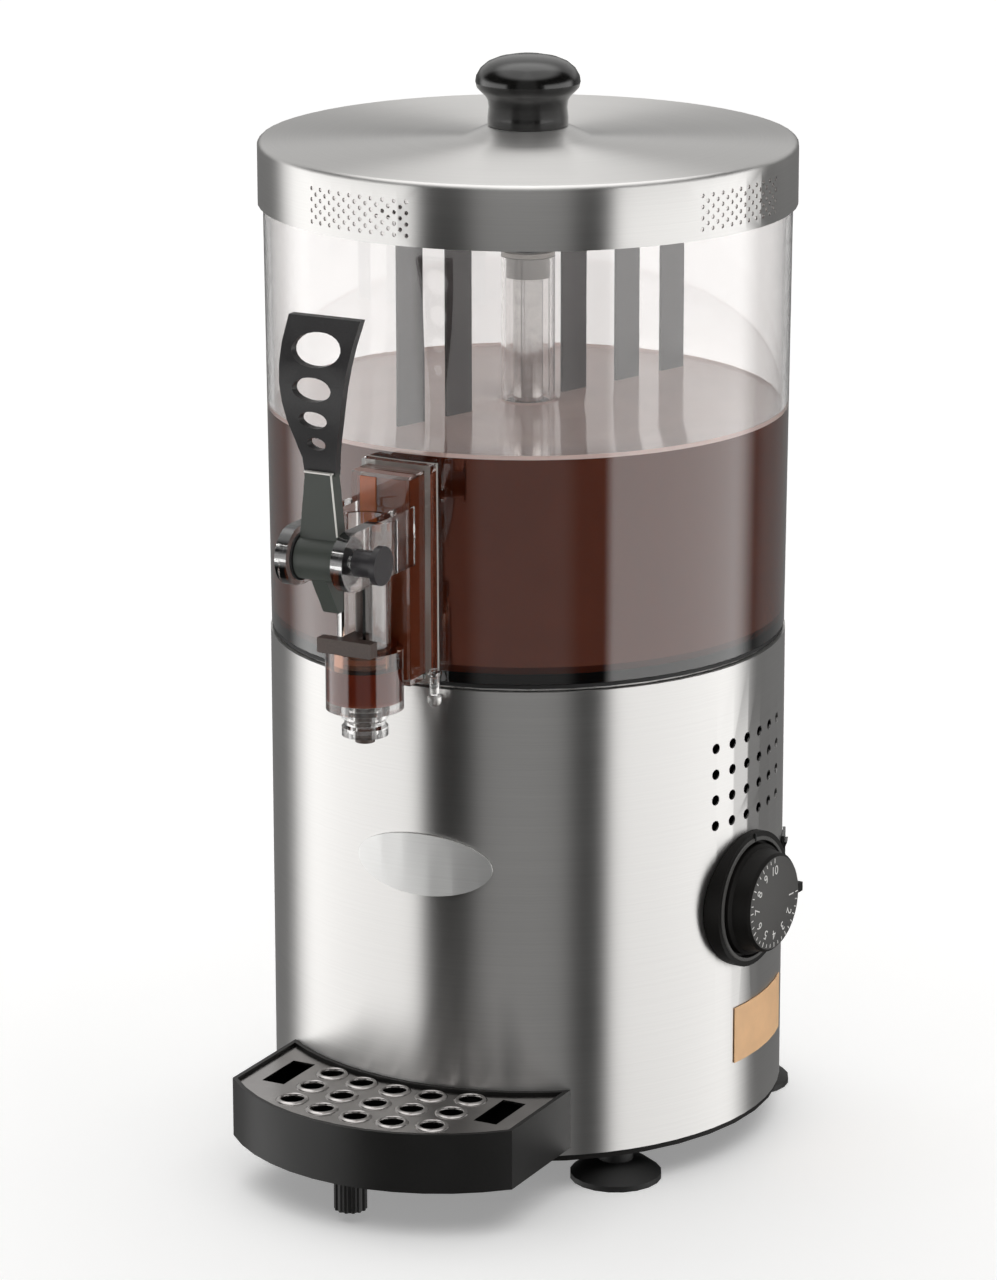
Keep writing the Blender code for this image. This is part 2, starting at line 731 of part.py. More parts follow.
def make_heater(bath):
    """One tube: a leg up through the bath floor, a ring, and a leg down again."""
    curve = bpy.data.curves.new("heating_element", "CURVE")
    curve.dimensions = "3D"
    curve.bevel_depth = HEATER_TUBE_R
    curve.bevel_resolution = 2
    curve.use_fill_caps = True
    ring_z = BATH_FLOOR_Z + HEATER_RISE
    foot_z = BATH_FLOOR_Z - HEATER_LEG_OUT
    half = HEATER_LEG_GAP / 2
    open_angle = degrees(half / HEATER_RING_R)
    loop = arc((0, 0), HEATER_RING_R, 90 + open_angle, 450 - open_angle, 30)
    path = [(loop[0][0], loop[0][1], foot_z), (loop[0][0], loop[0][1], ring_z - HEATER_TUBE_R)]
    path += [(x, y, ring_z) for x, y in loop[1:-1]]
    path += [(loop[-1][0], loop[-1][1], ring_z - HEATER_TUBE_R), (loop[-1][0], loop[-1][1], foot_z)]
    line = curve.splines.new("POLY")
    line.points.add(len(path) - 1)
    for point, place in zip(line.points, path):
        point.co = (*place, 1)
    element = bpy.data.objects.new("heating_element", curve)
    PARTS.objects.link(element)
    finish_object(element, steel("heater_steel", 0.3, 0.4), (0, 0, 0), MACHINE)
    nut_top = BATH_FLOOR_Z - BATH_SHEET - FIT
    for name, (x, y) in (("left", loop[0]), ("right", loop[-1])):
        cut_rod(bath, HEATER_TUBE_R + FIT, 2 * CUT, (x, y, BATH_FLOOR_Z - BATH_SHEET / 2), sides=16)
        place = (x, y, nut_top - HEATER_NUT_H / 2)
        nut = rod("heater_nut_" + name, HEATER_NUT_R, HEATER_NUT_H, place, steel("brass"), sides=6)
        cut_rod(nut, HEATER_TUBE_R + FIT, HEATER_NUT_H + 2 * CUT, place, sides=16)


BRACKET_TOP = PAN_TOP + FIT + BRACKET_H
BOX_BOTTOM = BRACKET_TOP + FIT
STAGE_ONE_Z = BOX_BOTTOM + BOX_WALL + FIT + GEAR_SIDE_GAP
STAGE_TWO_Z = STAGE_ONE_Z + GEAR_FACE + GEAR_SIDE_GAP
BOX_TOP = STAGE_TWO_Z + GEAR_FACE + GEAR_SIDE_GAP
COVER_Z = BOX_TOP + FIT
WHEEL_OUTER_R = MODULE * (WHEEL_TEETH / 2 + 1)
IDLER_PLACE = polar(CENTRE_DISTANCE, IDLER_AZIMUTH)
ROTOR_STEP = polar(CENTRE_DISTANCE, ROTOR_AZIMUTH)
ROTOR_PLACE = (IDLER_PLACE[0] + ROTOR_STEP[0], IDLER_PLACE[1] + ROTOR_STEP[1], 0)
BOX_X = (ROTOR_PLACE[0] - MODULE * (PINION_TEETH / 2 + 1) - BOX_SIDE_GAP, WHEEL_OUTER_R + BOX_SIDE_GAP)
BOX_Y = (-WHEEL_OUTER_R - BOX_SIDE_GAP, IDLER_PLACE[1] + WHEEL_OUTER_R + BOX_SIDE_GAP)
BOX_CENTRE = ((BOX_X[0] + BOX_X[1]) / 2, (BOX_Y[0] + BOX_Y[1]) / 2)
BOX_SIZE = (BOX_X[1] - BOX_X[0], BOX_Y[1] - BOX_Y[0])


def make_gearbox():
    bracket_y = BOX_CENTRE[1]
    top = BRACKET_TOP
    foot = PAN_TOP + FIT
    half = abs(ROTOR_PLACE[0]) + MOTOR_R + BRACKET_SIDE_GAP
    sheet_t = BRACKET_SHEET
    hat = [
        (-half - BRACKET_FLANGE, foot),
        (-half, foot),
        (-half, top - sheet_t),
        (half, top - sheet_t),
        (half, foot),
        (half + BRACKET_FLANGE, foot),
        (half + BRACKET_FLANGE, foot + sheet_t),
        (half + sheet_t, foot + sheet_t),
        (half + sheet_t, top),
        (-half - sheet_t, top),
        (-half - sheet_t, foot + sheet_t),
        (-half - BRACKET_FLANGE, foot + sheet_t),
    ]
    bracket_look = steel("bracket_steel", 0.45, 0.45)
    bracket = slab("motor_bracket", hat, BRACKET_LENGTH, bracket_look, (0, bracket_y, 0), plane="XZ")
    shaft_hole = (ROTOR_PLACE[0], ROTOR_PLACE[1], top - sheet_t / 2)
    cut_rod(bracket, ROTOR_SHAFT_R + 2 * RUN, sheet_t + 2 * CUT, shaft_hole, sides=16)
    box_h = BOX_TOP - BOX_BOTTOM
    box_look = material("gearbox_grey", (0.35, 0.36, 0.37), 0.5)
    outer = (BOX_SIZE[0] + 2 * BOX_WALL, BOX_SIZE[1] + 2 * BOX_WALL, box_h)
    case = block("gearbox_case", outer, (*BOX_CENTRE, BOX_BOTTOM + box_h / 2), box_look)
    inner = (BOX_SIZE[0], BOX_SIZE[1], box_h)
    cut_block(case, inner, (*BOX_CENTRE, BOX_BOTTOM + BOX_WALL + box_h / 2))
    floor_hole = (ROTOR_PLACE[0], ROTOR_PLACE[1], BOX_BOTTOM + BOX_WALL / 2)
    cut_rod(case, ROTOR_SHAFT_R + RUN, BOX_WALL + 2 * CUT, floor_hole, sides=16)
    post_h = BOX_TOP - BOX_BOTTOM - BOX_WALL / 2
    post_place = (IDLER_PLACE[0], IDLER_PLACE[1], BOX_TOP - post_h / 2)
    combine(case, rod("idler_post", IDLER_PIN_R, post_h, post_place, TOOL, sides=20), "UNION")
    cover_size = (outer[0], outer[1], COVER_T)
    cover = block("gearbox_cover", cover_size, (*BOX_CENTRE, COVER_Z + COVER_T / 2), box_look)
    cut_rod(cover, BUSH_R + FIT, COVER_T + 2 * CUT, (0, 0, COVER_Z + COVER_T / 2))
    bush_top = COVER_Z + COVER_T + FIT + BUSH_FLANGE_H
    bush = [
        (DRIVE_R + CLOSE, bush_top),
        (BUSH_FLANGE_R, bush_top),
        (BUSH_FLANGE_R, bush_top - BUSH_FLANGE_H),
        (BUSH_R, bush_top - BUSH_FLANGE_H),
        (BUSH_R, COVER_Z),
        (DRIVE_R + CLOSE, COVER_Z),
    ]
    turned("shaft_bush", bush, material("bush_brass", (0.65, 0.45, 0.18), 0.3, 1.0), steps=SMALL_STEPS)


def gear(name, stages, bore_r, look, place, turn, parent=MACHINE):
    """Toothed wheels on one axis. Each stage is (teeth, bottom, height)."""
    made = None
    for teeth, bottom, tall in stages:
        centre = (place[0], place[1], bottom + tall / 2)
        label = name if made is None else name + "_stage"
        wheel = slab(label, gear_outline(teeth), tall, look, centre, parent)
        wheel.rotation_euler = (0, 0, radians(turn))
        made = wheel if made is None else combine(made, wheel, "UNION")
    if bore_r:
        cut_rod(made, bore_r, stages[-1][1] * 2, (place[0], place[1], stages[0][1]), parent)
    return made


def make_gears():
    nylon = material("gear_nylon", (0.85, 0.84, 0.78), 0.45)
    metal = steel("shaft_steel", 0.6, 0.25)
    step = 360 / WHEEL_TEETH
    output = [(WHEEL_TEETH, STAGE_TWO_Z, GEAR_FACE)]
    gear("output_gear", output, DRIVE_R + FIT, nylon, (0, 0), 90 + step / 2)
    root = GEAR_SIDE_GAP + GEAR_FACE / 2
    stages = [(WHEEL_TEETH, STAGE_ONE_Z, GEAR_FACE), (PINION_TEETH, STAGE_TWO_Z - root, GEAR_FACE + root)]
    gear("idler_gear", stages, GEAR_BORE_R + FIT, nylon, IDLER_PLACE, -90)
    dog_top = TANK_FLOOR_Z + STIR_SHAFT_Z + DRIVE_DOG_H
    dog_z = dog_top - DRIVE_DOG_H
    low = BOX_BOTTOM + BOX_WALL + FIT
    shaft = rod("drive_shaft", DRIVE_R, dog_z - low, (0, 0, (dog_z + low) / 2), metal, sides=24)
    dog_tall = DRIVE_DOG_H + CUT
    dog = rod("drive_dog", DRIVE_DOG_R, dog_tall, (0, 0, dog_top - dog_tall / 2), metal, sides=6)
    combine(shaft, dog, "UNION")
    seal_top = TANK_FLOOR_Z + BATH_TUBE_RISE
    seal = ring(DRIVE_R + CLOSE, BATH_TUBE_R - BATH_SHEET - FIT, seal_top - SEAL_H, seal_top)
    turned("shaft_seal", seal, black("seal_rubber", 0.03, 0.6), steps=SMALL_STEPS)


def make_motor():
    x, y, _ = ROTOR_PLACE
    top = BRACKET_TOP - BRACKET_SHEET - FIT
    low = top - MOTOR_H
    hole = ROTOR_SHAFT_R + CLOSE
    can = [
        (hole, top),
        (MOTOR_R, top),
        (MOTOR_R, low),
        (MOTOR_R - MOTOR_WALL, low),
        (MOTOR_R - MOTOR_WALL, top - MOTOR_WALL),
        (hole, top - MOTOR_WALL),
    ]
    turned("motor_housing", can, steel("motor_steel", 0.35, 0.4), (x, y, 0), steps=32)
    winding_top = top - MOTOR_WALL - (MOTOR_H - 2 * MOTOR_WALL - STATOR_H) / 2
    winding = ring(STATOR_BORE_R, MOTOR_R - MOTOR_WALL - FIT, winding_top - STATOR_H, winding_top)
    copper = material("copper", (0.6, 0.28, 0.12), 0.35, 1.0)
    turned("motor_winding", winding, copper, (x, y, 0), steps=32)
    cap_top = low - FIT
    cap_low = cap_top - MOTOR_CAP_H
    cap = [(0, cap_top), (MOTOR_R, cap_top), (MOTOR_R, cap_low), (0, cap_low)]
    turned("motor_end_cap", cap, black("motor_cap"), (x, y, 0), steps=32, closed=False)
    shaft_low = cap_top + FIT
    shaft_top = STAGE_ONE_Z + GEAR_FACE + GEAR_SIDE_GAP / 2
    rotor = [
        (0, shaft_top),
        (ROTOR_SHAFT_R, shaft_top),
        (ROTOR_SHAFT_R, winding_top),
        (ROTOR_R, winding_top),
        (ROTOR_R, winding_top - STATOR_H),
        (ROTOR_SHAFT_R, winding_top - STATOR_H),
        (ROTOR_SHAFT_R, shaft_low),
        (0, shaft_low),
    ]
    rotor_look = steel("rotor_steel", 0.4, 0.4)
    spindle = turned("motor_rotor", rotor, rotor_look, (x, y, 0), steps=SMALL_STEPS, closed=False)
    mesh_turn = ROTOR_AZIMUTH + 90 + 180 / PINION_TEETH
    stage = [(PINION_TEETH, STAGE_ONE_Z, GEAR_FACE)]
    pinion = gear("motor_pinion", stage, 0, TOOL, ROTOR_PLACE, mesh_turn)
    combine(spindle, pinion, "UNION")


def make_thermostat():
    side = side_empty("dial_side", DIAL_AZIMUTH, DIAL_Z)
    front = BODY_R + BEZEL_PROUD
    place = (0, 0, front - BEZEL_DEPTH / 2)
    bezel = rod("dial_bezel", BEZEL_R, BEZEL_DEPTH, place, black("bezel_black"), side, sides=48)
    combine(bezel, rod("bezel_seat", BODY_R + FIT, 4 * BEZEL_R, (0, 0, DIAL_Z), TOOL, sides=FINE_STEPS))
    cut_rod(bezel, BEZEL_BORE_R, 2 * BEZEL_DEPTH, (0, 0, front), side)
    cut_rod(bezel, DIAL_BASE_R + BEZEL_WELL_GAP, 2 * BEZEL_WELL_DEPTH, (0, 0, front), side, sides=48)
    dial_back = front - BEZEL_WELL_DEPTH + FIT
    dial_front = dial_back + DIAL_H
    dial = [
        (0, dial_front),
        (DIAL_FACE_R - DIAL_EDGE, dial_front),
        (DIAL_FACE_R, dial_front - DIAL_EDGE),
        (DIAL_FACE_R + DIAL_EDGE, dial_back + DIAL_SHOULDER_H),
        (DIAL_BASE_R, dial_back + DIAL_SKIRT_H),
        (DIAL_BASE_R, dial_back),
        (SPINDLE_R + FIT, dial_back),
        (SPINDLE_R + FIT, dial_back + DIAL_BORE_H),
        (0, dial_back + DIAL_BORE_H),
    ]
    knob = turned("thermostat_knob", dial, black("knob_black"), (0, 0, 0), side, steps=48, closed=False)
    nub_size = (DIAL_NUB_OUT * 2 + DIAL_NUB_W, DIAL_NUB_W, DIAL_NUB_H)
    nub_place = (DIAL_FACE_R, 0, dial_front - DIAL_NUB_H / 2 - DIAL_EDGE)
    combine(knob, block("dial_nub", nub_size, nub_place, TOOL, side), "UNION")
    flat = sqrt(BODY_INNER_R ** 2 - THERMO_R ** 2) - FIT
    back = flat - THERMO_H
    body = [
        (0, flat - SPINDLE_SEAT_H),
        (SPINDLE_R + RUN, flat - SPINDLE_SEAT_H),
        (SPINDLE_R + RUN, flat),
        (THERMO_R, flat),
        (THERMO_R, back),
        (0, back),
    ]
    white = material("thermostat_white", (0.8, 0.8, 0.76), 0.5)
    turned("thermostat_body", body, white, (0, 0, 0), side, steps=40, closed=False)
    spindle_low = flat - SPINDLE_SEAT_H + FIT
    spindle_top = dial_back + DIAL_BORE_H - FIT
    centre = (0, 0, (spindle_low + spindle_top) / 2)
    spindle_look = steel("spindle_steel", 0.6, 0.3)
    rod("thermostat_spindle", SPINDLE_R, spindle_top - spindle_low, centre, spindle_look, side)


def make_switch():
    side = side_empty("switch_side", SWITCH_AZIMUTH, SWITCH_Z)
    reach = SWITCH_W / 2 + SWITCH_FLANGE
    seat = BODY_R + FIT
    front = seat + SWITCH_FLANGE_T
    look = black("switch_black", 0.03, 0.35)
    size = (SWITCH_W, SWITCH_TALL, SWITCH_DEPTH)
    body = block("switch_body", size, (0, 0, front - SWITCH_DEPTH / 2), look, side)
    flange_size = (2 * reach, SWITCH_TALL + 2 * SWITCH_FLANGE, SWITCH_FLANGE_T * 2)
    flange = block("switch_flange", flange_size, (0, 0, front - SWITCH_FLANGE_T), TOOL, side)
    seat_rod = rod("flange_seat", seat, SWITCH_TALL * 2, (0, 0, SWITCH_Z), TOOL, sides=FINE_STEPS)
    combine(flange, seat_rod)
    combine(body, flange, "UNION")
    well = (SWITCH_W - 2 * SWITCH_WALL, SWITCH_TALL - 2 * SWITCH_WALL, SWITCH_WELL * 2)
    cut_block(body, well, (0, 0, front), side)
    tall = well[1] / 2 - 2 * RUN
    half = ROCKER_T / 2
    pivot = front - ROCKER_SINK
    heel = tall * ROCKER_HEEL_SHARE
    wedge = [
        (-tall, half * ROCKER_HORN_SHARE),
        (0, half * ROCKER_SADDLE_SHARE),
        (tall, half * ROCKER_HORN_SHARE),
        (heel, -half),
        (0, -half * ROCKER_KEEL_SHARE),
        (-heel, -half),
    ]
    rocker_look = black("rocker_black", 0.02, 0.25)
    rocker = slab("power_rocker", wedge, well[0] - 2 * RUN, rocker_look, (0, 0, pivot), side, "YZ")
    rocker.rotation_euler = (radians(ROCKER_TILT), 0, 0)


def make_mains():
    x0 = -TERMINAL_W / 2
    base = PAN_TOP + FIT
    look = material("terminal_ivory", (0.82, 0.80, 0.72), 0.5)
    centre = (0, TERMINAL_Y, base + TERMINAL_H / 2)
    strip = block("terminal_block", (TERMINAL_W, TERMINAL_D, TERMINAL_H), centre, look)
    for i in range(TERMINAL_HOLES):
        x = x0 + TERMINAL_W * (i + 0.5) / TERMINAL_HOLES
        place = (x, TERMINAL_Y, base + TERMINAL_H / 2)
        cut_rod(strip, TERMINAL_HOLE_R, TERMINAL_D + 2 * CUT, place, axis="Y", sides=12)
    side = side_empty("gland_side", GLAND_AZIMUTH, GLAND_Z)
    flat = BODY_R + FIT
    inside = sqrt(BODY_INNER_R ** 2 - GLAND_R ** 2) - FIT
    nut_low = inside - GLAND_NUT_H
    gland = [
        (GLAND_BORE_R, flat + GLAND_OUT),
        (GLAND_R * GLAND_TIP_SHARES[0], flat + GLAND_OUT),
        (GLAND_R, flat + GLAND_OUT * GLAND_TIP_SHARES[1]),
        (GLAND_R, flat),
        (GLAND_THREAD_R, flat),
        (GLAND_THREAD_R, nut_low),
        (GLAND_BORE_R, nut_low),
    ]
    turned("cable_gland", gland, black("gland_black"), (0, 0, 0), side, steps=24)
    nut = ring(GLAND_THREAD_R + FIT, GLAND_R, nut_low, inside)
    turned("gland_nut", nut, black("gland_black"), (0, 0, 0), side, steps=24)


def tray_outline(inset):
    """The tray seen from above: a back that follows the housing, straight sides, a bowed front."""
    half = TRAY_HALF_W - inset
    back_r = BODY_R + FIT + inset
    rise = TRAY_FRONT_Y - TRAY_SIDE_Y
    front_r = (TRAY_HALF_W ** 2 + rise ** 2) / (2 * rise)
    centre_y = -TRAY_FRONT_Y + front_r
    front_r -= inset
    back_turn = degrees(Vector((0, 1)).angle(Vector((half, sqrt(back_r ** 2 - half ** 2)))))
    front_turn = degrees(Vector((0, 1)).angle(Vector((half, sqrt(front_r ** 2 - half ** 2)))))
    back = arc((0, 0), back_r, 270 + back_turn, 270 - back_turn, TRAY_ARC_POINTS)
    front = arc((0, centre_y), front_r, 270 - front_turn, 270 + front_turn, TRAY_ARC_POINTS)
    return back + front


def make_tray():
    look = black("tray_black", 0.025, 0.35)
    floor_z = TRAY_TOP - TRAY_H
    middle = TRAY_TOP - TRAY_H / 2
    tray = slab("drip_tray", tray_outline(0), TRAY_H, look, (0, 0, middle))
    wall = TRAY_WALL + TRAY_LEDGE
    combine(tray, slab("tray_basin", tray_outline(wall), TRAY_H, TOOL, (0, 0, middle + TRAY_FLOOR)))
    step_z = middle + TRAY_H - TRAY_LEDGE_DROP
    combine(tray, slab("tray_recess", tray_outline(TRAY_WALL), TRAY_H, TOOL, (0, 0, step_z)))
    hook_top = PAN_BOTTOM - FIT
    for x in (-TRAY_HOOK_X, TRAY_HOOK_X):
        front_y = -sqrt((BODY_R + FIT) ** 2 - (TRAY_HOOK_X - TRAY_HOOK_W / 2) ** 2) - TRAY_WALL
        back_y = front_y + TRAY_HOOK_REACH + TRAY_WALL
        arm_front = front_y - TRAY_HOOK_ROOT
        arm = (TRAY_HOOK_W, back_y - arm_front, TRAY_HOOK_T)
        arm_place = (x, (arm_front + back_y) / 2, hook_top - TRAY_HOOK_T / 2)
        combine(tray, block("hook_arm", arm, arm_place, TOOL), "UNION")
        web_low = hook_top - TRAY_HOOK_T
        web = (TRAY_HOOK_W, TRAY_HOOK_ROOT, floor_z + TRAY_FLOOR / 2 - web_low)
        web_place = (x, arm_front + TRAY_HOOK_ROOT / 2, web_low + web[2] / 2)
        combine(tray, block("hook_web", web, web_place, TOOL), "UNION")
    peg_top = floor_z - FIT
    ribs = []
    for i in range(PEG_RIBS * 2):
        radius = PEG_R - (PEG_RIB_H if i % 2 else 0)
        for side_share in PEG_RIB_SHARES:
            angle = 2 * pi * (i + side_share) / (PEG_RIBS * 2)
            ribs.append((radius * cos(angle), radius * sin(angle)))
    slab("tray_peg", ribs, peg_top - PEG_LIFT, look, (0, -PEG_Y, (peg_top + PEG_LIFT) / 2))


def make_grate():
    top = TRAY_TOP - TRAY_LEDGE_DROP + FIT + GRATE_T
    middle = top - GRATE_T / 2
    holes = []
    for column in range(GRATE_COLUMNS):
        x = (column - (GRATE_COLUMNS - 1) / 2) * GRATE_PITCH
        bend = GRATE_ARC_R - sqrt(GRATE_ARC_R ** 2 - x ** 2)
        for row in range(GRATE_ROWS):
            y = -GRATE_MID_Y + bend + (row - (GRATE_ROWS - 1) / 2) * GRATE_ROW_PITCH
            holes.append(arc((x, y), GRATE_HOLE_R, 0, 337.5, 15))
    for x in (-GRATE_SLOT_X, GRATE_SLOT_X):
        half_w = GRATE_SLOT_W / 2
        low = -GRATE_SLOT_Y - GRATE_SLOT_L / 2
        high = low + GRATE_SLOT_L
        holes.append([(x - half_w, low), (x + half_w, low), (x + half_w, high), (x - half_w, high)])
    outline = tray_outline(TRAY_WALL + FIT)
    slab("drip_grate", outline, GRATE_T, steel("grate_steel", 0.65, 0.2), (0, 0, middle), holes=holes)


LID_ARC_R = LID_R - LID_ROUND
LID_ARC_Z = LID_Z - LID_ROUND
INNER_ROUND = LID_ROUND - LID_SHEET
TANK_RIM_Z = LID_ARC_Z + sqrt((INNER_ROUND - FIT) ** 2 - (TANK_RIM_R - LID_ARC_R) ** 2)


def tank_outer_r(height):
    share = (height - TANK_Z) / (TANK_RIM_Z - TANK_Z)
    return TANK_R + (TANK_RIM_R - TANK_R) * share


def tank_skin(grow, bottom, top):
    """Radius and height of the tank's outer face, moved out by a distance."""
    return [(tank_outer_r(top) + grow, top), (tank_outer_r(bottom) + grow, bottom)]


def make_tank():
    floor_corner = TANK_FLOOR
    profile = [
        (TANK_RIM_R, TANK_RIM_Z),
        (TANK_R, TANK_Z),
        (COLUMN_INNER_R, TANK_Z),
        (COLUMN_INNER_R, COLUMN_TOP),
        (COLUMN_R, COLUMN_TOP),
        (COLUMN_R, TANK_FLOOR_Z + floor_corner / 2),
        (COLUMN_R + floor_corner / 2, TANK_FLOOR_Z),
        (TANK_R - TANK_WALL - floor_corner, TANK_FLOOR_Z),
        (TANK_R - TANK_WALL, TANK_FLOOR_Z + floor_corner),
        (TANK_RIM_R - TANK_WALL, TANK_RIM_Z),
    ]
    tank = turned("tank", profile, clear("tank_clear"), steps=FINE_STEPS)
    window_low = DUCT_BOTTOM + WINDOW_EDGE
    window_high = DUCT_TOP - WINDOW_EDGE
    window = (2 * WINDOW_HALF_W, 2 * PLATE_REACH, window_high - window_low)
    cut_block(tank, window, (0, -TANK_R, (window_low + window_high) / 2))
    bush_in = STIR_SHAFT_R + FIT
    bush_z = COLUMN_TOP + FIT
    bush = [
        (bush_in, bush_z + COLUMN_BUSH_FLANGE),
        (COLUMN_R, bush_z + COLUMN_BUSH_FLANGE),
        (COLUMN_R, bush_z),
        (COLUMN_INNER_R - FIT, bush_z),
        (COLUMN_INNER_R - FIT, COLUMN_TOP - COLUMN_BUSH_H),
        (bush_in, COLUMN_TOP - COLUMN_BUSH_H),
    ]
    turned("column_bush", bush, material("bush_white", (0.85, 0.85, 0.82), 0.4), steps=SMALL_STEPS)


def make_tap():
    look = clear("tap_clear")
    seat = TAP_GASKET_T + 2 * FIT
    flange_low = TANK_Z + FIT
    flange_high = DUCT_TOP + FLANGE_EDGE
    wall_y = TANK_R
    duct_size = (2 * DUCT_HALF_W, DUCT_FRONT_Y - wall_y + FLANGE_T, DUCT_TOP - DUCT_BOTTOM)
    duct_y = -(DUCT_FRONT_Y + wall_y - FLANGE_T) / 2
    duct_z = (DUCT_TOP + DUCT_BOTTOM) / 2
    tap = block("tap_body", duct_size, (0, duct_y, duct_z), look)
    flange_y = wall_y + seat + FLANGE_T / 2 + TANK_RIM_R - TANK_R
    flange_size = (2 * FLANGE_HALF_W, 2 * FLANGE_T, flange_high - flange_low)
    flange_place = (0, -flange_y + FLANGE_T / 2, (flange_high + flange_low) / 2)
    combine(tap, block("tap_flange", flange_size, flange_place, TOOL), "UNION")
    barrel = [
        (0, NECK_TOP),
        (NECK_R, NECK_TOP),
        (NECK_R, BARREL_TOP),
        (BARREL_R, BARREL_TOP),
        (BARREL_R, BARREL_BOTTOM),
        (0, BARREL_BOTTOM),
    ]
    combine(tap, turned("tap_barrel", barrel, TOOL, (0, -TAP_Y, 0), steps=36, closed=False), "UNION")
    ear_back = DUCT_FRONT_Y - DUCT_WALL / 2
    ear = arc((-PIVOT_Y, PIVOT_Z), EAR_R, 90, 270, 14)
    ear += [(-ear_back, PIVOT_Z - EAR_R), (-ear_back, PIVOT_Z + EAR_R)]
    for x in (-EAR_IN - EAR_T / 2, EAR_IN + EAR_T / 2):
        combine(tap, slab("tap_ear", ear, EAR_T, TOOL, (x, 0, 0), plane="YZ"), "UNION")
    cavity_depth = DUCT_FRONT_Y - DUCT_WALL
    cavity = (2 * (DUCT_HALF_W - DUCT_WALL), cavity_depth, DUCT_TOP - DUCT_BOTTOM - 2 * DUCT_WALL)
    cut_block(tap, cavity, (0, -cavity_depth / 2, duct_z))
    bore = [
        (0, NECK_TOP + CUT),
        (THROAT_R, NECK_TOP + CUT),
        (THROAT_R, CHAMBER_TOP),
        (CHAMBER_R, CHAMBER_TOP),
        (CHAMBER_R, BARREL_BOTTOM + BARREL_FLOOR),
        (OUTLET_R, BARREL_BOTTOM + BARREL_FLOOR),
        (OUTLET_R, BARREL_BOTTOM - CUT),
        (0, BARREL_BOTTOM - CUT),
    ]
    combine(tap, turned("tap_bore", bore, TOOL, (0, -TAP_Y, 0), steps=36, closed=False))
    port_y = (DUCT_FRONT_Y - DUCT_WALL + TAP_Y) / 2
    port = (2 * PORT_HALF_W, TAP_Y - DUCT_FRONT_Y + DUCT_WALL + CUT, PORT_TOP - PORT_BOTTOM)
    cut_block(tap, port, (0, -port_y, (PORT_TOP + PORT_BOTTOM) / 2))
    slot_low = BARREL_TOP + FIT
    slot_h = NECK_TOP - slot_low + CUT
    slot_place = (0, -TAP_Y - NECK_R / 2 - CUT, slot_low + slot_h / 2)
    cut_block(tap, (2 * SLOT_HALF_W, NECK_R, slot_h), slot_place)
    cut_rod(tap, PIN_R + CLOSE, 4 * EAR_IN, (0, -PIVOT_Y, PIVOT_Z), axis="X", sides=24)
    back = tank_skin(seat, flange_low - CUT, flange_high + CUT)
    back = [(0, flange_high + CUT)] + back + [(0, flange_low - CUT)]
    combine(tap, turned("tap_seat", back, TOOL, steps=FINE_STEPS, closed=False))
    outer = tank_skin(FIT + TAP_GASKET_T, flange_low, flange_high)
    inner = tank_skin(FIT, flange_low, flange_high)
    milky = material("gasket_milky", (0.8, 0.8, 0.78), 0.4)
    gasket = turned("tap_gasket", outer + inner[::-1], milky, steps=FINE_STEPS)
    frame = (2 * FLANGE_HALF_W, PLATE_REACH, flange_high - flange_low)
    frame_place = (0, -wall_y, (flange_high + flange_low) / 2)
    combine(gasket, block("gasket_shape", frame, frame_place, TOOL), "INTERSECT")
    cut_block(gasket, (cavity[0], PLATE_REACH, cavity[2]), (0, -wall_y, duct_z))
    weld(tap)


def make_outlet():
    z = BARREL_BOTTOM - FIT
    spigot = OUTLET_R - FIT
    steps = [z - share * COLLAR_H for share in COLLAR_STEP_SHARES]
    profile = [
        (COLLAR_BORE_R, z + BARREL_FLOOR),
        (spigot, z + BARREL_FLOOR),
        (spigot, z),
        (COLLAR_R, z),
        (COLLAR_R, steps[0]),
        (COLLAR_R - COLLAR_WAIST, steps[1]),
        (COLLAR_R - COLLAR_WAIST, steps[2]),
        (COLLAR_R, steps[3]),
        (COLLAR_R, z - COLLAR_H),
        (COLLAR_BORE_R, z - COLLAR_H),
    ]
    turned("outlet_collar", profile, clear("collar_clear"), (0, -TAP_Y, 0), steps=28)


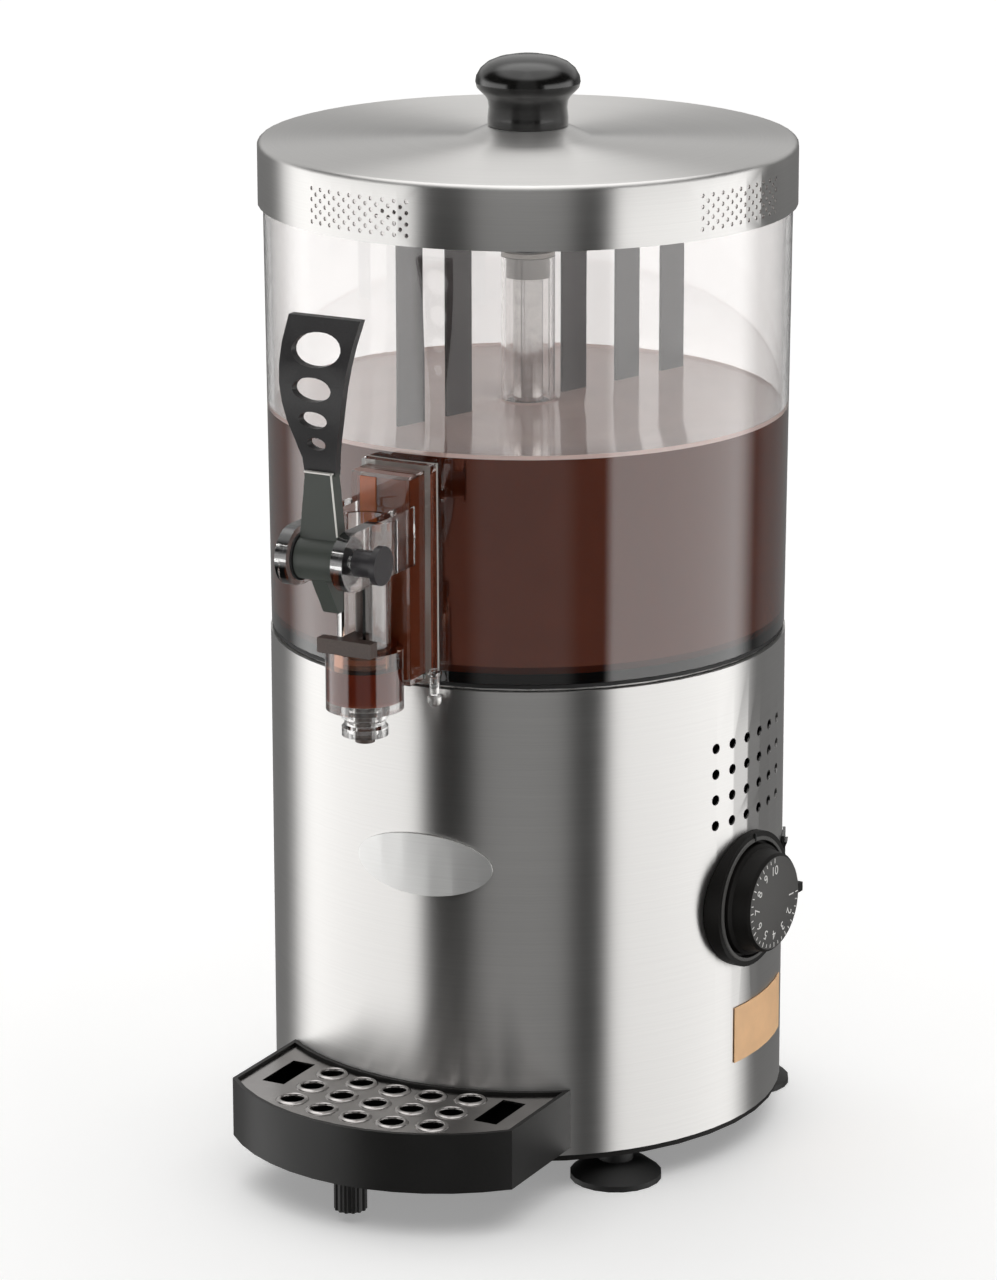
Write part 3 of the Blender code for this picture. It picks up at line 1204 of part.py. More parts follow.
def make_piston():
    seat_z = BARREL_BOTTOM + BARREL_FLOOR + FIT
    groove_low = PISTON_HEAD_Z + (PISTON_HEAD_H - PISTON_GROOVE_H) / 2
    groove_r = PISTON_HEAD_R - PISTON_GROOVE
    profile = [
        (0, PISTON_ROD_TOP),
        (PISTON_STEM_R, PISTON_ROD_TOP),
        (PISTON_STEM_R, PISTON_HEAD_Z + PISTON_HEAD_H),
        (PISTON_HEAD_R, PISTON_HEAD_Z + PISTON_HEAD_H),
        (PISTON_HEAD_R, groove_low + PISTON_GROOVE_H),
        (groove_r, groove_low + PISTON_GROOVE_H),
        (groove_r, groove_low),
        (PISTON_HEAD_R, groove_low),
        (PISTON_HEAD_R, PISTON_HEAD_Z),
        (PISTON_STEM_R, PISTON_HEAD_Z),
        (PISTON_STEM_R, seat_z + PISTON_SEAL_T),
        (PISTON_SEAL_R, seat_z + PISTON_SEAL_T),
        (PISTON_SEAL_R, seat_z),
        (PISTON_TIP_R, seat_z),
        (PISTON_TIP_R, PISTON_TIP_Z),
        (0, PISTON_TIP_Z),
    ]
    look = material("piston_taupe", (0.10, 0.085, 0.08), 0.4)
    piston = turned("tap_piston", profile, look, (0, -TAP_Y, 0), steps=SMALL_STEPS, closed=False)
    bar_back = TAP_Y + NECK_R + 2 * FIT
    neck_l = bar_back - TAP_Y + CROSSBAR_T / 2
    bar_z = CROSSBAR_Z + CROSSBAR_H / 2
    neck = (2 * CROSSBAR_NECK, neck_l, CROSSBAR_H)
    combine(piston, block("bar_neck", neck, (0, -TAP_Y - neck_l / 2, bar_z), TOOL), "UNION")
    bar = (2 * CROSSBAR_HALF_W, CROSSBAR_T, CROSSBAR_H)
    combine(piston, block("bar", bar, (0, -bar_back - CROSSBAR_T / 2, bar_z), TOOL), "UNION")
    ring_low = groove_low + FIT
    ring_high = groove_low + PISTON_GROOVE_H - FIT
    seal = ring(groove_r + FIT, THROAT_R - CLOSE, ring_low, ring_high)
    turned("piston_ring", seal, black("ring_rubber", 0.02, 0.6), (0, -TAP_Y, 0), steps=SMALL_STEPS)


def oval(rise, half_w, half_h):
    turns = [2 * pi * i / OVAL_STEPS for i in range(OVAL_STEPS)]
    return [(half_w * cos(turn), rise + half_h * sin(turn)) for turn in turns]


def make_lever():
    look = black("lever_black", 0.03, 0.35)
    pivot = empty("lever_pivot", (0, -PIVOT_Y, PIVOT_Z), parent=MACHINE)
    rises = [share * LEVER_H for share in LEVER_RISE_SHARES]
    bows = [share * LEVER_H for share in LEVER_BOW_SHARES]
    widths = [share * LEVER_H for share in LEVER_WIDTH_SHARES]
    front = [(bow - LEVER_T / 2, rise) for bow, rise in zip(bows, rises)]
    rear = [(bow + LEVER_T / 2, rise) for bow, rise in zip(bows, rises)]
    handle = slab("tap_lever", front + rear[::-1], 2 * max(widths) + CUT, look, parent=pivot, plane="YZ")
    left = [(-width, rise) for width, rise in zip(widths, rises)]
    right = [(width, rise) for width, rise in zip(widths, rises)]
    left[0] = (left[0][0], rises[0] - CUT)
    right[0] = (right[0][0], rises[0] - CUT)
    left[-1] = (left[-1][0], rises[-1] + CUT)
    right[-1] = (right[-1][0], rises[-1] + CUT)
    holes = [oval(*[share * LEVER_H for share in shares]) for shares in LEVER_HOLE_SHARES]
    cutter = slab("lever_front", right + left[::-1], LEVER_H, TOOL, parent=pivot, plane="XZ", holes=holes)
    combine(handle, cutter, "INTERSECT")
    shank_top = SHANK_TOP_SHARE * LEVER_H
    shank = [
        (-SHANK_FOOT_HALF, 0),
        (SHANK_FOOT_HALF, 0),
        (SHANK_FOOT_HALF, HUB_LEVER_R),
        (SHANK_TOP_HALF, shank_top),
        (-SHANK_TOP_HALF, shank_top),
        (-SHANK_FOOT_HALF, HUB_LEVER_R),
    ]
    combine(handle, slab("lever_shank", shank, SHANK_T, TOOL, parent=pivot, plane="XZ"), "UNION")
    tongue = [
        (-TONGUE_ROOT, 0),
        (TONGUE_ROOT, 0),
        (TONGUE_BACK + TONGUE_TIP / 2, -TONGUE_L),
        (TONGUE_BACK - TONGUE_TIP / 2, -TONGUE_L),
    ]
    combine(handle, slab("lever_tongue", tongue, 2 * TONGUE_HALF, TOOL, parent=pivot, plane="YZ"), "UNION")
    hub = rod("lever_hub", HUB_LEVER_R, 2 * HUB_LEVER_HALF, (0, 0, 0), TOOL, pivot, "X", 40)
    combine(handle, hub, "UNION")
    cut_rod(handle, PIN_R + FIT, 4 * EAR_IN, (0, 0, 0), pivot, "X", 24)
    along_x = empty("pin_axis", (0, -PIVOT_Y, PIVOT_Z), (0, pi / 2, 0), MACHINE)
    washer_in = HUB_LEVER_HALF + FIT
    for name, side in (("right", 1), ("left", -1)):
        low, high = sorted((side * washer_in, side * (washer_in + WASHER_T)))
        washer = ring(PIN_R + FIT, HUB_LEVER_R + WASHER_T, low, high)
        washer_look = black("washer_black", 0.01, 0.5)
        turned("hub_washer_" + name, washer, washer_look, (0, 0, 0), along_x, steps=SMALL_STEPS)
    head = EAR_IN + EAR_T + FIT
    pin = [
        (0, head + PIN_HEAD_L + PIN_RING_L),
        (PIN_RING_R, head + PIN_HEAD_L + PIN_RING_L),
        (PIN_RING_R, head + PIN_HEAD_L),
        (PIN_HEAD_R, head + PIN_HEAD_L),
        (PIN_HEAD_R, head),
        (PIN_R, head),
        (PIN_R, -EAR_IN - EAR_T - PIN_TAIL),
        (0, -EAR_IN - EAR_T - PIN_TAIL),
    ]
    turned("pivot_pin", pin, black("pin_black"), (0, 0, 0), along_x, steps=SMALL_STEPS, closed=False)


def make_stirrer():
    look = steel("stirrer_steel", 0.30, 0.4)
    turn = (0, 0, radians(STIR_AZIMUTH - 90))
    axis = empty("stirrer_axis", (0, 0, 0), turn, MACHINE)
    shaft_low = TANK_FLOOR_Z + STIR_SHAFT_Z
    arm_top = ARM_Z + ARM_T
    bright = steel("shaft_bright", 0.6, 0.2)
    middle = (0, 0, (arm_top + shaft_low) / 2)
    shaft = rod("stirrer_shaft", STIR_SHAFT_R, arm_top - shaft_low, middle, bright)
    cut_rod(shaft, STIR_SOCKET_R, 2 * STIR_SOCKET_H, (0, 0, shaft_low), sides=6)
    hub_low = COLUMN_TOP + FIT + COLUMN_BUSH_FLANGE + FIT
    hub = [
        (STIR_SHAFT_R + FIT, ARM_Z - FIT),
        (HUB_R, ARM_Z - FIT),
        (HUB_R, hub_low + HUB_TIP_H),
        (HUB_TIP_R, hub_low),
        (STIR_SHAFT_R + FIT, hub_low),
    ]
    turned("stirrer_hub", hub, look, steps=SMALL_STEPS)
    ends = (min(BLADE_RADII) - BLADE_W / 2 - ARM_END, max(BLADE_RADII) + BLADE_W / 2 + ARM_END)
    arm_place = ((ends[0] + ends[1]) / 2, 0, ARM_Z + ARM_T / 2)
    arm = block("stirrer_arm", (ends[1] - ends[0], ARM_W, ARM_T), arm_place, look, axis)
    cut_rod(arm, STIR_SHAFT_R + FIT, ARM_T + 2 * CUT, (0, 0, ARM_Z + ARM_T / 2))
    nut_z = arm_top + FIT
    nut_look = steel("nut_steel", 0.5, 0.3)
    rod("stirrer_nut", ARM_NUT_R, ARM_NUT_H, (0, 0, nut_z + ARM_NUT_H / 2), nut_look, axis, sides=6)
    low = TANK_FLOOR_Z + BLADE_FLOOR_GAP
    high = ARM_Z - FIT
    for i, radius in enumerate(BLADE_RADII):
        size = (BLADE_W, BLADE_T, high - low)
        block("blade_" + str(i + 1), size, (radius, 0, (low + high) / 2), look, axis)


def make_lid():
    top_z = LID_Z + LID_CONE_H
    line = [(LID_HOLE_R, top_z), (LID_CONE_TOP_R, top_z), (LID_CONE_R, LID_Z + LID_SHEET)]
    line += [(r, z) for r, z in arc((LID_ARC_R, LID_ARC_Z), LID_ROUND, 90, 0, ARC_POINTS)]
    line.append((LID_R, LID_Z - LID_SKIRT_H))
    turned("lid", sheet(line, LID_SHEET), steel("lid_steel"), steps=FINE_STEPS)
    seat = top_z + FIT
    knob = [(0, seat + KNOB_H)]
    knob += [(KNOB_R * wide, seat + KNOB_H * rise) for wide, rise in KNOB_TOP_SHARES]
    knob += [(KNOB_NECK_R * wide, seat + KNOB_H * rise) for wide, rise in KNOB_NECK_SHARES]
    knob += [
        (KNOB_NECK_R, seat),
        (KNOB_BORE_R, seat),
        (KNOB_BORE_R, seat + KNOB_BORE_H),
        (0, seat + KNOB_BORE_H),
    ]
    turned("lid_knob", knob, black("knob_gloss", 0.015, 0.12), steps=40, closed=False)
    under = top_z - LID_SHEET - FIT
    screw = [
        (0, seat + KNOB_BORE_H - FIT),
        (KNOB_SCREW_R, seat + KNOB_BORE_H - FIT),
        (KNOB_SCREW_R, under),
        (KNOB_SCREW_HEAD_R, under),
        (KNOB_SCREW_HEAD_R, under - KNOB_SCREW_HEAD_H),
        (0, under - KNOB_SCREW_HEAD_H),
    ]
    turned("knob_screw", screw, steel("screw_steel", 0.55, 0.3), steps=24, closed=False)


def bounds_of_parts():
    bpy.context.view_layer.update()
    graph = bpy.context.evaluated_depsgraph_get()
    corners = []
    for thing in PARTS.objects:
        if thing.type != "EMPTY":
            shape = thing.evaluated_get(graph)
            corners += [shape.matrix_world @ vertex.co for vertex in shape.to_mesh().vertices]
            shape.to_mesh_clear()
    low = Vector([min(corner[i] for corner in corners) for i in range(3)])
    high = Vector([max(corner[i] for corner in corners) for i in range(3)])
    return low, high


make_base()
make_housing()
make_plates()
BATH = make_bath()
make_heater(BATH)
make_gearbox()
make_gears()
make_motor()
make_thermostat()
make_switch()
make_mains()
make_tray()
make_grate()
make_tank()
make_tap()
make_outlet()
make_piston()
make_lever()
make_stirrer()
make_lid()

LOW, HIGH = bounds_of_parts()
MACHINE.location = (-(LOW.x + HIGH.x) / 2, -(LOW.y + HIGH.y) / 2, -LOW.z)
bpy.context.view_layer.update()
print("size", [round(side, 4) for side in HIGH - LOW], "axis at", [round(v, 5) for v in MACHINE.location])
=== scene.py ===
"""Look of the hot chocolate dispenser: materials, the drink, small trim, light and camera."""

from math import cos, pi, radians, sin

import bmesh
import bpy
from mathutils import Matrix, Vector


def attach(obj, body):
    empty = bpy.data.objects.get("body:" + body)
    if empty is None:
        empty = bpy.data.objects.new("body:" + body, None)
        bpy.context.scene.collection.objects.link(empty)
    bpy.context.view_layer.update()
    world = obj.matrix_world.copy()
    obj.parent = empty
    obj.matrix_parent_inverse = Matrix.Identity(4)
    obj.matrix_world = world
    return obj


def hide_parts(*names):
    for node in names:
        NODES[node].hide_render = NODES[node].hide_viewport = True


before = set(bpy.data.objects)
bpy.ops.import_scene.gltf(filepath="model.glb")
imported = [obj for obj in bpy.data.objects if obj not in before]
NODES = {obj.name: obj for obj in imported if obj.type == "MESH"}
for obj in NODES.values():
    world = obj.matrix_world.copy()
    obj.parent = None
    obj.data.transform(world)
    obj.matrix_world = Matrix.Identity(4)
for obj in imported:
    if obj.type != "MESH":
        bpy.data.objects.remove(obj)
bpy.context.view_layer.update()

# The tank's axis in the row's frame, and heights that the solids share
AXIS_X = -0.00657
AXIS_Y = 0.03775
TANK_Z = 0.2502
TANK_FLOOR_Z = 0.2542
TANK_RIM_Z = 0.4837
TANK_R = 0.1245
TANK_RIM_R = 0.1265
TANK_WALL = 0.003
COLUMN_R = 0.013
LIQUID_Z = 0.3576
TAP_Y = 0.162
PIVOT_Y = 0.199
DIAL_AZIMUTH = 84.5
DIAL_Z = 0.1281
DIAL_FRONT = 0.1403
BEZEL_FRONT = 0.1291
LEVER_FOOT_Z = 0.3643
MERGE = 0.000002
SHARP_ANGLE = 32
OVERLAP = 0.0002

# Vents in the lid's skirt: four patches of small round holes
VENT_PATCHES = 4
VENT_FIRST_AZIMUTH = -10.5
VENT_PATCH_STEP = 88.9
VENT_COLUMNS = 19
VENT_COLUMN_STEP = 1.40
VENT_ROW_PITCH = 0.0052
VENT_Z = 0.4675
VENT_R = 0.00105
VENT_DEPTH = 0.006
SKIRT_R = 0.1280

# Print on the thermostat's face
DIGIT_COUNT = 10
DIGIT_STEP = 30
DIGIT_RING_R = 0.0158
DIGIT_SIZE = 0.0064
TICK_COUNT = 28
TICK_STEP = 10
TICK_RING_R = 0.0210
PRINT_PROUD = 0.00004
PRINT_EXTRUDE = 0.00006
TICK_SIZE = (0.0005, 0.0018, 0.00012)
LONG_TICK = 0.0024
MARK_RING_R = 0.0306
MARK_SIZE = (0.0012, 0.0040, 0.0010)

# Raised rims round the grate's holes
GRATE_COLUMNS = 5
GRATE_ROWS = 3
GRATE_COLUMN_PITCH = 0.0187
GRATE_ROW_PITCH = 0.0190
GRATE_MID_Y = -0.1555
GRATE_BEND_R = 0.1166

# Camera, fitted to the ellipses and heights in the photograph
CAMERA_LENS = 140.23
CAMERA_SHIFT = (-0.02293, -0.08934)
CAMERA_PLACE = (1.0800, -2.0746, 0.8919)
CAMERA_DOWN = 14.3295
CAMERA_TURN = 27.502

# Light: each box is (first edge, last edge, softness of each, strength), in degrees from the camera's side
LIGHT_TURN = 27.5
LEFT_BOX = (-124, -48, 12, 4, 1.70)
RIGHT_BOX = (36, 112, 3, 10, 1.70)
MIDDLE_BOX = (-24, 19, 5, 5, 0.20)
FRONT_SPAN = (-124, 122, 9, 9, 1.0)
BACK_LOW = 0.14
BACK_HIGH = 0.42
OVERHEAD = 1.3
AMBIENT = 0.025
FLOOR_HALF = 20
FLOOR_GLOW = 0.27


# Node helpers

class Shader:
    """Builds one material's nodes in short calls."""

    def __init__(self, name):
        self.material = bpy.data.materials.new(name)
        self.material.use_nodes = True
        self.tree = self.material.node_tree
        self.bsdf = self.tree.nodes["Principled BSDF"]
        self._coords = None

    def add(self, kind, **settings):
        made = self.tree.nodes.new("ShaderNode" + kind)
        for key, value in settings.items():
            setattr(made, key, value)
        return made

    def link(self, source, target):
        self.tree.links.new(source, target)

    def feed(self, socket, value):
        if isinstance(value, (int, float)):
            socket.default_value = value
        elif isinstance(value, (tuple, list)):
            if len(value) == 3 and len(socket.default_value) == 4:
                value = (*value, 1.0)
            socket.default_value = value
        else:
            self.link(value, socket)

    def coords(self):
        """Object coordinates with the tank's axis in the middle."""
        if self._coords is None:
            where = self.add("TexCoord")
            shift = self.add("VectorMath", operation="SUBTRACT")
            shift.inputs[1].default_value = (AXIS_X, AXIS_Y, 0)
            self.link(where.outputs["Object"], shift.inputs[0])
            self._coords = shift.outputs[0]
        return self._coords

    def scaled(self, vector, scale):
        made = self.add("VectorMath", operation="MULTIPLY")
        self.link(vector, made.inputs[0])
        made.inputs[1].default_value = scale
        return made.outputs[0]

    def math(self, operation, first, second=0.0):
        made = self.add("Math", operation=operation)
        for socket, value in zip(made.inputs, (first, second)):
            self.feed(socket, value)
        return made.outputs[0]

    def noise(self, vector, scale, detail=3.0, rough=0.55, distortion=0.0):
        made = self.add("TexNoise")
        made.inputs["Scale"].default_value = scale
        made.inputs["Detail"].default_value = detail
        made.inputs["Roughness"].default_value = rough
        made.inputs["Distortion"].default_value = distortion
        self.link(vector, made.inputs["Vector"])
        return made.outputs["Fac"]

    def ramp(self, value, stops):
        made = self.add("ValToRGB")
        line = made.color_ramp
        while len(line.elements) < len(stops):
            line.elements.new(0.5)
        for element, (place, colour) in zip(line.elements, stops):
            element.position = place
            element.color = (*colour, 1.0) if len(colour) == 3 else colour
        self.link(value, made.inputs["Fac"])
        return made.outputs["Color"]

    def span(self, value, low, high, out_low, out_high):
        made = self.add("MapRange")
        for socket, number in zip(list(made.inputs)[1:5], (low, high, out_low, out_high)):
            socket.default_value = number
        self.link(value, made.inputs[0])
        return made.outputs[0]

    def blend(self, share, first, second):
        """One colour where the share is 0 and another where it is 1."""
        made = self.add("Mix", data_type="RGBA")
        self.feed(made.inputs[0], share)
        self.feed(made.inputs[6], first)
        self.feed(made.inputs[7], second)
        return made.outputs[2]

    def within(self, value, low, high, soft):
        """1 between two values, and 0 outside them, with a soft edge."""
        rise = self.span(value, low - soft, low + soft, 0.0, 1.0)
        fall = self.span(value, high - soft, high + soft, 1.0, 0.0)
        return self.math("MULTIPLY", rise, fall)

    def length(self, first, second):
        """The distance from the middle, from two coordinates."""
        squares = [self.math("MULTIPLY", side, side) for side in (first, second)]
        return self.math("SQRT", self.math("ADD", *squares))

    def split(self, vector):
        made = self.add("SeparateXYZ")
        self.link(vector, made.inputs[0])
        return made.outputs

    def bump(self, height, strength, distance):
        made = self.add("Bump")
        made.inputs["Strength"].default_value = strength
        made.inputs["Distance"].default_value = distance
        self.link(height, made.inputs["Height"])
        self.link(made.outputs["Normal"], self.bsdf.inputs["Normal"])

    def set(self, **values):
        for key, value in values.items():
            self.feed(self.bsdf.inputs[key.replace("_", " ")], value)
        return self


def brushed(name, shade, roughness=0.32, anisotropic=0.9, grain=1.0, tint=(1.0, 0.988, 0.972)):
    """Brushed sheet: fine lines that run round the tank's axis, on walls and on the flat top."""
    made = Shader(name)
    place = made.coords()
    x, y, z = made.split(place)
    radius = made.length(x, y)
    lines = made.add("CombineXYZ")
    made.link(made.math("MULTIPLY", x, 9.0), lines.inputs[0])
    made.link(made.math("MULTIPLY", y, 9.0), lines.inputs[1])
    made.link(made.math("MULTIPLY", made.math("ADD", z, radius), 900.0), lines.inputs[2])
    fine = made.noise(lines.outputs[0], 1.6, 4.0, 0.65)
    soft = made.noise(made.scaled(place, (8.0, 8.0, 14.0)), 1.3, 2.0)
    blend = made.math("ADD", made.math("MULTIPLY", fine, 0.7), made.math("MULTIPLY", soft, 0.3))
    low = tuple(shade * 0.95 * t for t in tint)
    high = tuple(min(1.0, shade * 1.04) * t for t in tint)
    colour = made.ramp(blend, ((0.30, low), (0.70, high)))
    uneven = made.span(blend, 0.3, 0.7, roughness * 0.94, roughness * 1.06)
    made.set(Base_Color=colour, Metallic=1.0, Roughness=uneven)
    if anisotropic:
        along = made.add("Tangent", direction_type="RADIAL", axis="Z")
        made.link(along.outputs[0], made.bsdf.inputs["Tangent"])
        made.set(Anisotropic=anisotropic, Anisotropic_Rotation=0.25)
    made.bump(fine, 0.02 * grain, 0.0002)
    return made.material


def metal(name, shade, roughness, tint=(1.0, 0.99, 0.975), scale=220.0, spots=0.12):
    """Plain metal with faint mottling and handling marks."""
    made = Shader(name)
    fine = made.noise(made.coords(), scale, 4.0, 0.6)
    low = tuple(shade * (1 - spots) * t for t in tint)
    high = tuple(min(1.0, shade * (1 + spots)) * t for t in tint)
    made.set(
        Base_Color=made.ramp(fine, ((0.3, low), (0.7, high))),
        Metallic=1.0,
        Roughness=made.span(fine, 0.3, 0.7, roughness * 0.8, roughness * 1.25),
    )
    made.bump(fine, 0.04, 0.0003)
    return made.material


def moulded(name, colour, roughness=0.4, grain=900.0, depth=0.10, spread=0.25, coat=0.0, level=0.5,
            foot=None):
    """Moulded plastic or rubber with a fine texture; foot is (colour, height) for its lower part."""
    made = Shader(name)
    fine = made.noise(made.coords(), grain, 3.0, 0.6)
    broad = made.noise(made.coords(), 26.0, 2.0)
    mix = made.math("ADD", made.math("MULTIPLY", fine, 0.5), made.math("MULTIPLY", broad, 0.5))
    low = tuple(c * (1 - spread) for c in colour)
    high = tuple(min(1.0, c * (1 + spread)) for c in colour)
    shown = made.ramp(mix, ((0.32, low), (0.68, high)))
    if foot:
        lower = made.span(made.split(made.coords())[2], foot[1] - 0.0002, foot[1] + 0.0002, 1.0, 0.0)
        shown = made.blend(lower, shown, foot[0])
    made.set(
        Base_Color=shown,
        Roughness=made.span(mix, 0.3, 0.7, roughness * 0.85, roughness * 1.15),
        Specular_IOR_Level=level,
    )
    if coat:
        made.set(Coat_Weight=coat, Coat_Roughness=0.06)
    made.bump(fine, depth, 0.0001)
    return made.material


def clear(name, tint=(0.97, 0.985, 0.98), roughness=0.015, ripple=0.05, coat=0.0, stain=None):
    """Clear moulded plastic with a faint flow ripple and a hard gloss; a stain is (colour, mask)."""
    made = Shader(name)
    wave = made.noise(made.coords(), 34.0, 2.0, 0.5)
    colour = made.ramp(wave, ((0.3, tuple(c * 0.985 for c in tint)), (0.7, tint)))
    if stain:
        colour = made.blend(stain[1](made), colour, stain[0])
    made.set(
        Base_Color=colour,
        Roughness=roughness,
        IOR=1.49,
        Transmission_Weight=1.0,
        Coat_Weight=coat,
        Coat_IOR=1.55,
        Coat_Roughness=0.03,
    )
    made.bump(wave, ripple, 0.0006)
    return made.material


def chocolate(name, colour, surface=False, gloss=0.05, painted_glow=0.0):
    """The drink: opaque brown, a little paler in soft swirls; its surface is pale cream, partly a creamy
    skin and partly painted light, with a painted glow.
    """
    made = Shader(name)
    place = made.coords()
    swirl = made.noise(made.scaled(place, (1.0, 1.0, 0.5)), 16.0, 3.0, 0.5, 1.4)
    low = tuple(c * 0.92 for c in colour)
    high = tuple(min(1.0, c * 1.08) for c in colour)
    body = made.ramp(swirl, ((0.30, low), (0.70, high)))
    made.set(Base_Color=body, Roughness=gloss)
    if surface:
        made.set(Subsurface_Weight=0.08, Subsurface_Radius=(0.004, 0.002, 0.001), Subsurface_Scale=0.5)
        made.set(Specular_IOR_Level=0.7, Coat_Weight=1.0, Coat_Roughness=0.08)
        # Painted glow: the surface emits light in its own pale colour, as though it were lit.
        made.set(Emission_Color=colour, Emission_Strength=painted_glow)
    else:
        made.set(Specular_IOR_Level=0.5, Specular_Tint=(1.0, 0.42, 0.30))
    made.bump(swirl, 0.05 if surface else 0.02, 0.0004)
    return made.material


# Mesh helpers

def new_object(name, mesh, look, body):
    thing = bpy.data.objects.new(name, mesh)
    bpy.context.scene.collection.objects.link(thing)
    mesh.materials.clear()
    mesh.materials.append(look)
    if body:
        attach(thing, body)
    return thing


def lathe(name, profile, look, body, centre=(AXIS_X, AXIS_Y, 0), steps=96, closed=True, matrix=None,
          smooth=40):
    """A turned solid: (radius, height) points, with the outer side from the top to the bottom."""
    mesh = bpy.data.meshes.new(name)
    bm = bmesh.new()
    rings = []
    for radius, height in profile:
        if radius < 1e-7:
            rings.append([bm.verts.new((0, 0, height))])
        else:
            rings.append([
                bm.verts.new((radius * cos(2 * pi * i / steps), radius * sin(2 * pi * i / steps), height))
                for i in range(steps)
            ])
    pairs = list(zip(rings, rings[1:])) + ([(rings[-1], rings[0])] if closed else [])
    for upper, lower in pairs:
        for i in range(steps):
            j = (i + 1) % steps
            if len(upper) == 1 and len(lower) == 1:
                continue
            if len(upper) == 1:
                bm.faces.new((upper[0], lower[i], lower[j]))
            elif len(lower) == 1:
                bm.faces.new((upper[i], lower[0], upper[j]))
            else:
                bm.faces.new((upper[i], lower[i], lower[j], upper[j]))
    bmesh.ops.recalc_face_normals(bm, faces=bm.faces)
    bm.to_mesh(mesh)
    bm.free()
    mesh.transform(matrix if matrix else Matrix.Translation(centre))
    shade(mesh, smooth)
    return new_object(name, mesh, look, body)


def shade(mesh, angle=40):
    """Smooth shading, with the edges sharper than an angle kept sharp."""
    bm = bmesh.new()
    bm.from_mesh(mesh)
    limit = radians(angle)
    for edge in bm.edges:
        edge.smooth = not (len(edge.link_faces) == 2 and edge.calc_face_angle(0) > limit)
    for face in bm.faces:
        face.smooth = True
    bm.to_mesh(mesh)
    bm.free()


def side_matrix(azimuth, height):
    """A frame whose +Z points out of the machine at an azimuth from the front, with +Y up."""
    turn = Matrix.Rotation(radians(azimuth), 4, "Z") @ Matrix.Rotation(pi / 2, 4, "X")
    return Matrix.Translation((AXIS_X, AXIS_Y, height)) @ turn


def join_meshes(name, parts, look, body):
    """Puts several (mesh, matrix) pairs into one object."""
    bm = bmesh.new()
    for mesh, matrix in parts:
        piece = mesh.copy()
        piece.transform(matrix)
        bm.from_mesh(piece)
        bpy.data.meshes.remove(piece)
    mesh = bpy.data.meshes.new(name)
    bm.to_mesh(mesh)
    bm.free()
    return new_object(name, mesh, look, body)


# The camera

camera = bpy.data.cameras.new("camera")
view = bpy.data.objects.new("camera", camera)
bpy.context.scene.collection.objects.link(view)
camera.sensor_fit = "AUTO"
camera.sensor_width = 36.0
camera.lens = CAMERA_LENS
camera.shift_x, camera.shift_y = CAMERA_SHIFT
camera.clip_start = 0.05
camera.clip_end = 60.0
view.location = (CAMERA_PLACE[0] + AXIS_X, CAMERA_PLACE[1] + AXIS_Y, CAMERA_PLACE[2])
view.rotation_euler = (radians(90 - CAMERA_DOWN), 0, radians(CAMERA_TURN))
bpy.context.scene.camera = view


# Materials

BODY_STEEL = brushed("housing_brushed", 0.74)
LID_STEEL = brushed("lid_brushed", 0.73, grain=1.3)
BATH_STEEL = metal("bath_drawn", 0.6, 0.28)
BRACKET_STEEL = metal("bracket_zinc", 0.55, 0.38, (0.97, 0.99, 1.0), 90.0, 0.2)
GRATE_STEEL = metal("grate_polished", 0.46, 0.20, (1.0, 0.96, 0.94), 60.0, 0.08)
SHAFT_STEEL = metal("shaft_polished", 0.75, 0.15)
BLADE_STEEL = metal("stirrer_strip", 0.085, 0.42, (1.0, 0.93, 0.93), 120.0, 0.12)
HEATER_STEEL = metal("heater_stained", 0.30, 0.36, (1.0, 0.92, 0.84), 40.0, 0.3)
BRASS = metal("brass_turned", 0.62, 0.28, (1.0, 0.74, 0.36))
COPPER = metal("copper_winding", 0.6, 0.35, (1.0, 0.48, 0.24), 500.0, 0.3)
MOTOR_PAINT = moulded("motor_paint", (0.12, 0.12, 0.12), 0.35, 300.0, 0.15)
RUBBER = moulded("rubber_black", (0.012, 0.012, 0.012), 0.55, 700.0, 0.2)
TRAY_BLACK = moulded("tray_satin", (0.010, 0.0095, 0.009), 0.38, 1300.0, 0.12, level=0.38)
KNOB_GLOSS = moulded("knob_gloss", (0.006, 0.0055, 0.005), 0.22, 300.0, 0.02, coat=0.5)
DIAL_BLACK = moulded("dial_satin", (0.008, 0.0072, 0.0065), 0.48, 1500.0, 0.12, level=0.2)
DIAL_FACE = moulded("dial_face_grey", (0.090, 0.088, 0.085), 0.5, 1500.0, 0.10, 0.12, level=0.3)
LEVER_BLACK = moulded("lever_satin", (0.030, 0.028, 0.031), 0.34, 1200.0, 0.14, level=0.5)
LEVER_TWO_TONE = moulded(
    "lever_two_tone", (0.034, 0.033, 0.034), 0.38, 1200.0, 0.16, level=0.4,
    foot=((0.060, 0.068, 0.060), LEVER_FOOT_Z))
# Painted highlight: a pale strip that stands in for light caught by the lever's top and right edges.
PAINTED_EDGE_HIGHLIGHT = moulded("lever_painted_highlight", (0.80, 0.78, 0.74), 0.35, 900.0, 0.05, 0.06)
WINDOW_AMBER = moulded("duct_window", (0.46, 0.105, 0.022), 0.22, 60.0, 0.03, 0.35, coat=0.6)
RIM_STEEL = metal("grate_rim_polished", 0.50, 0.22, (1.0, 0.96, 0.94), 60.0, 0.06)
LIP_GREY = moulded("dial_lip_grey", (0.080, 0.078, 0.075), 0.42, 1500.0, 0.08)
SWITCH_BLACK = moulded("switch_gloss", (0.016, 0.016, 0.016), 0.25, 500.0, 0.04, coat=0.3)
PISTON_TAUPE = moulded("piston_taupe", (0.085, 0.058, 0.048), 0.38, 900.0, 0.1)
MILKY = moulded("gasket_milky", (0.62, 0.60, 0.56), 0.45, 600.0, 0.08, 0.06)
WHITE_PLASTIC = moulded("bush_white", (0.78, 0.77, 0.72), 0.4, 700.0, 0.06, 0.05)
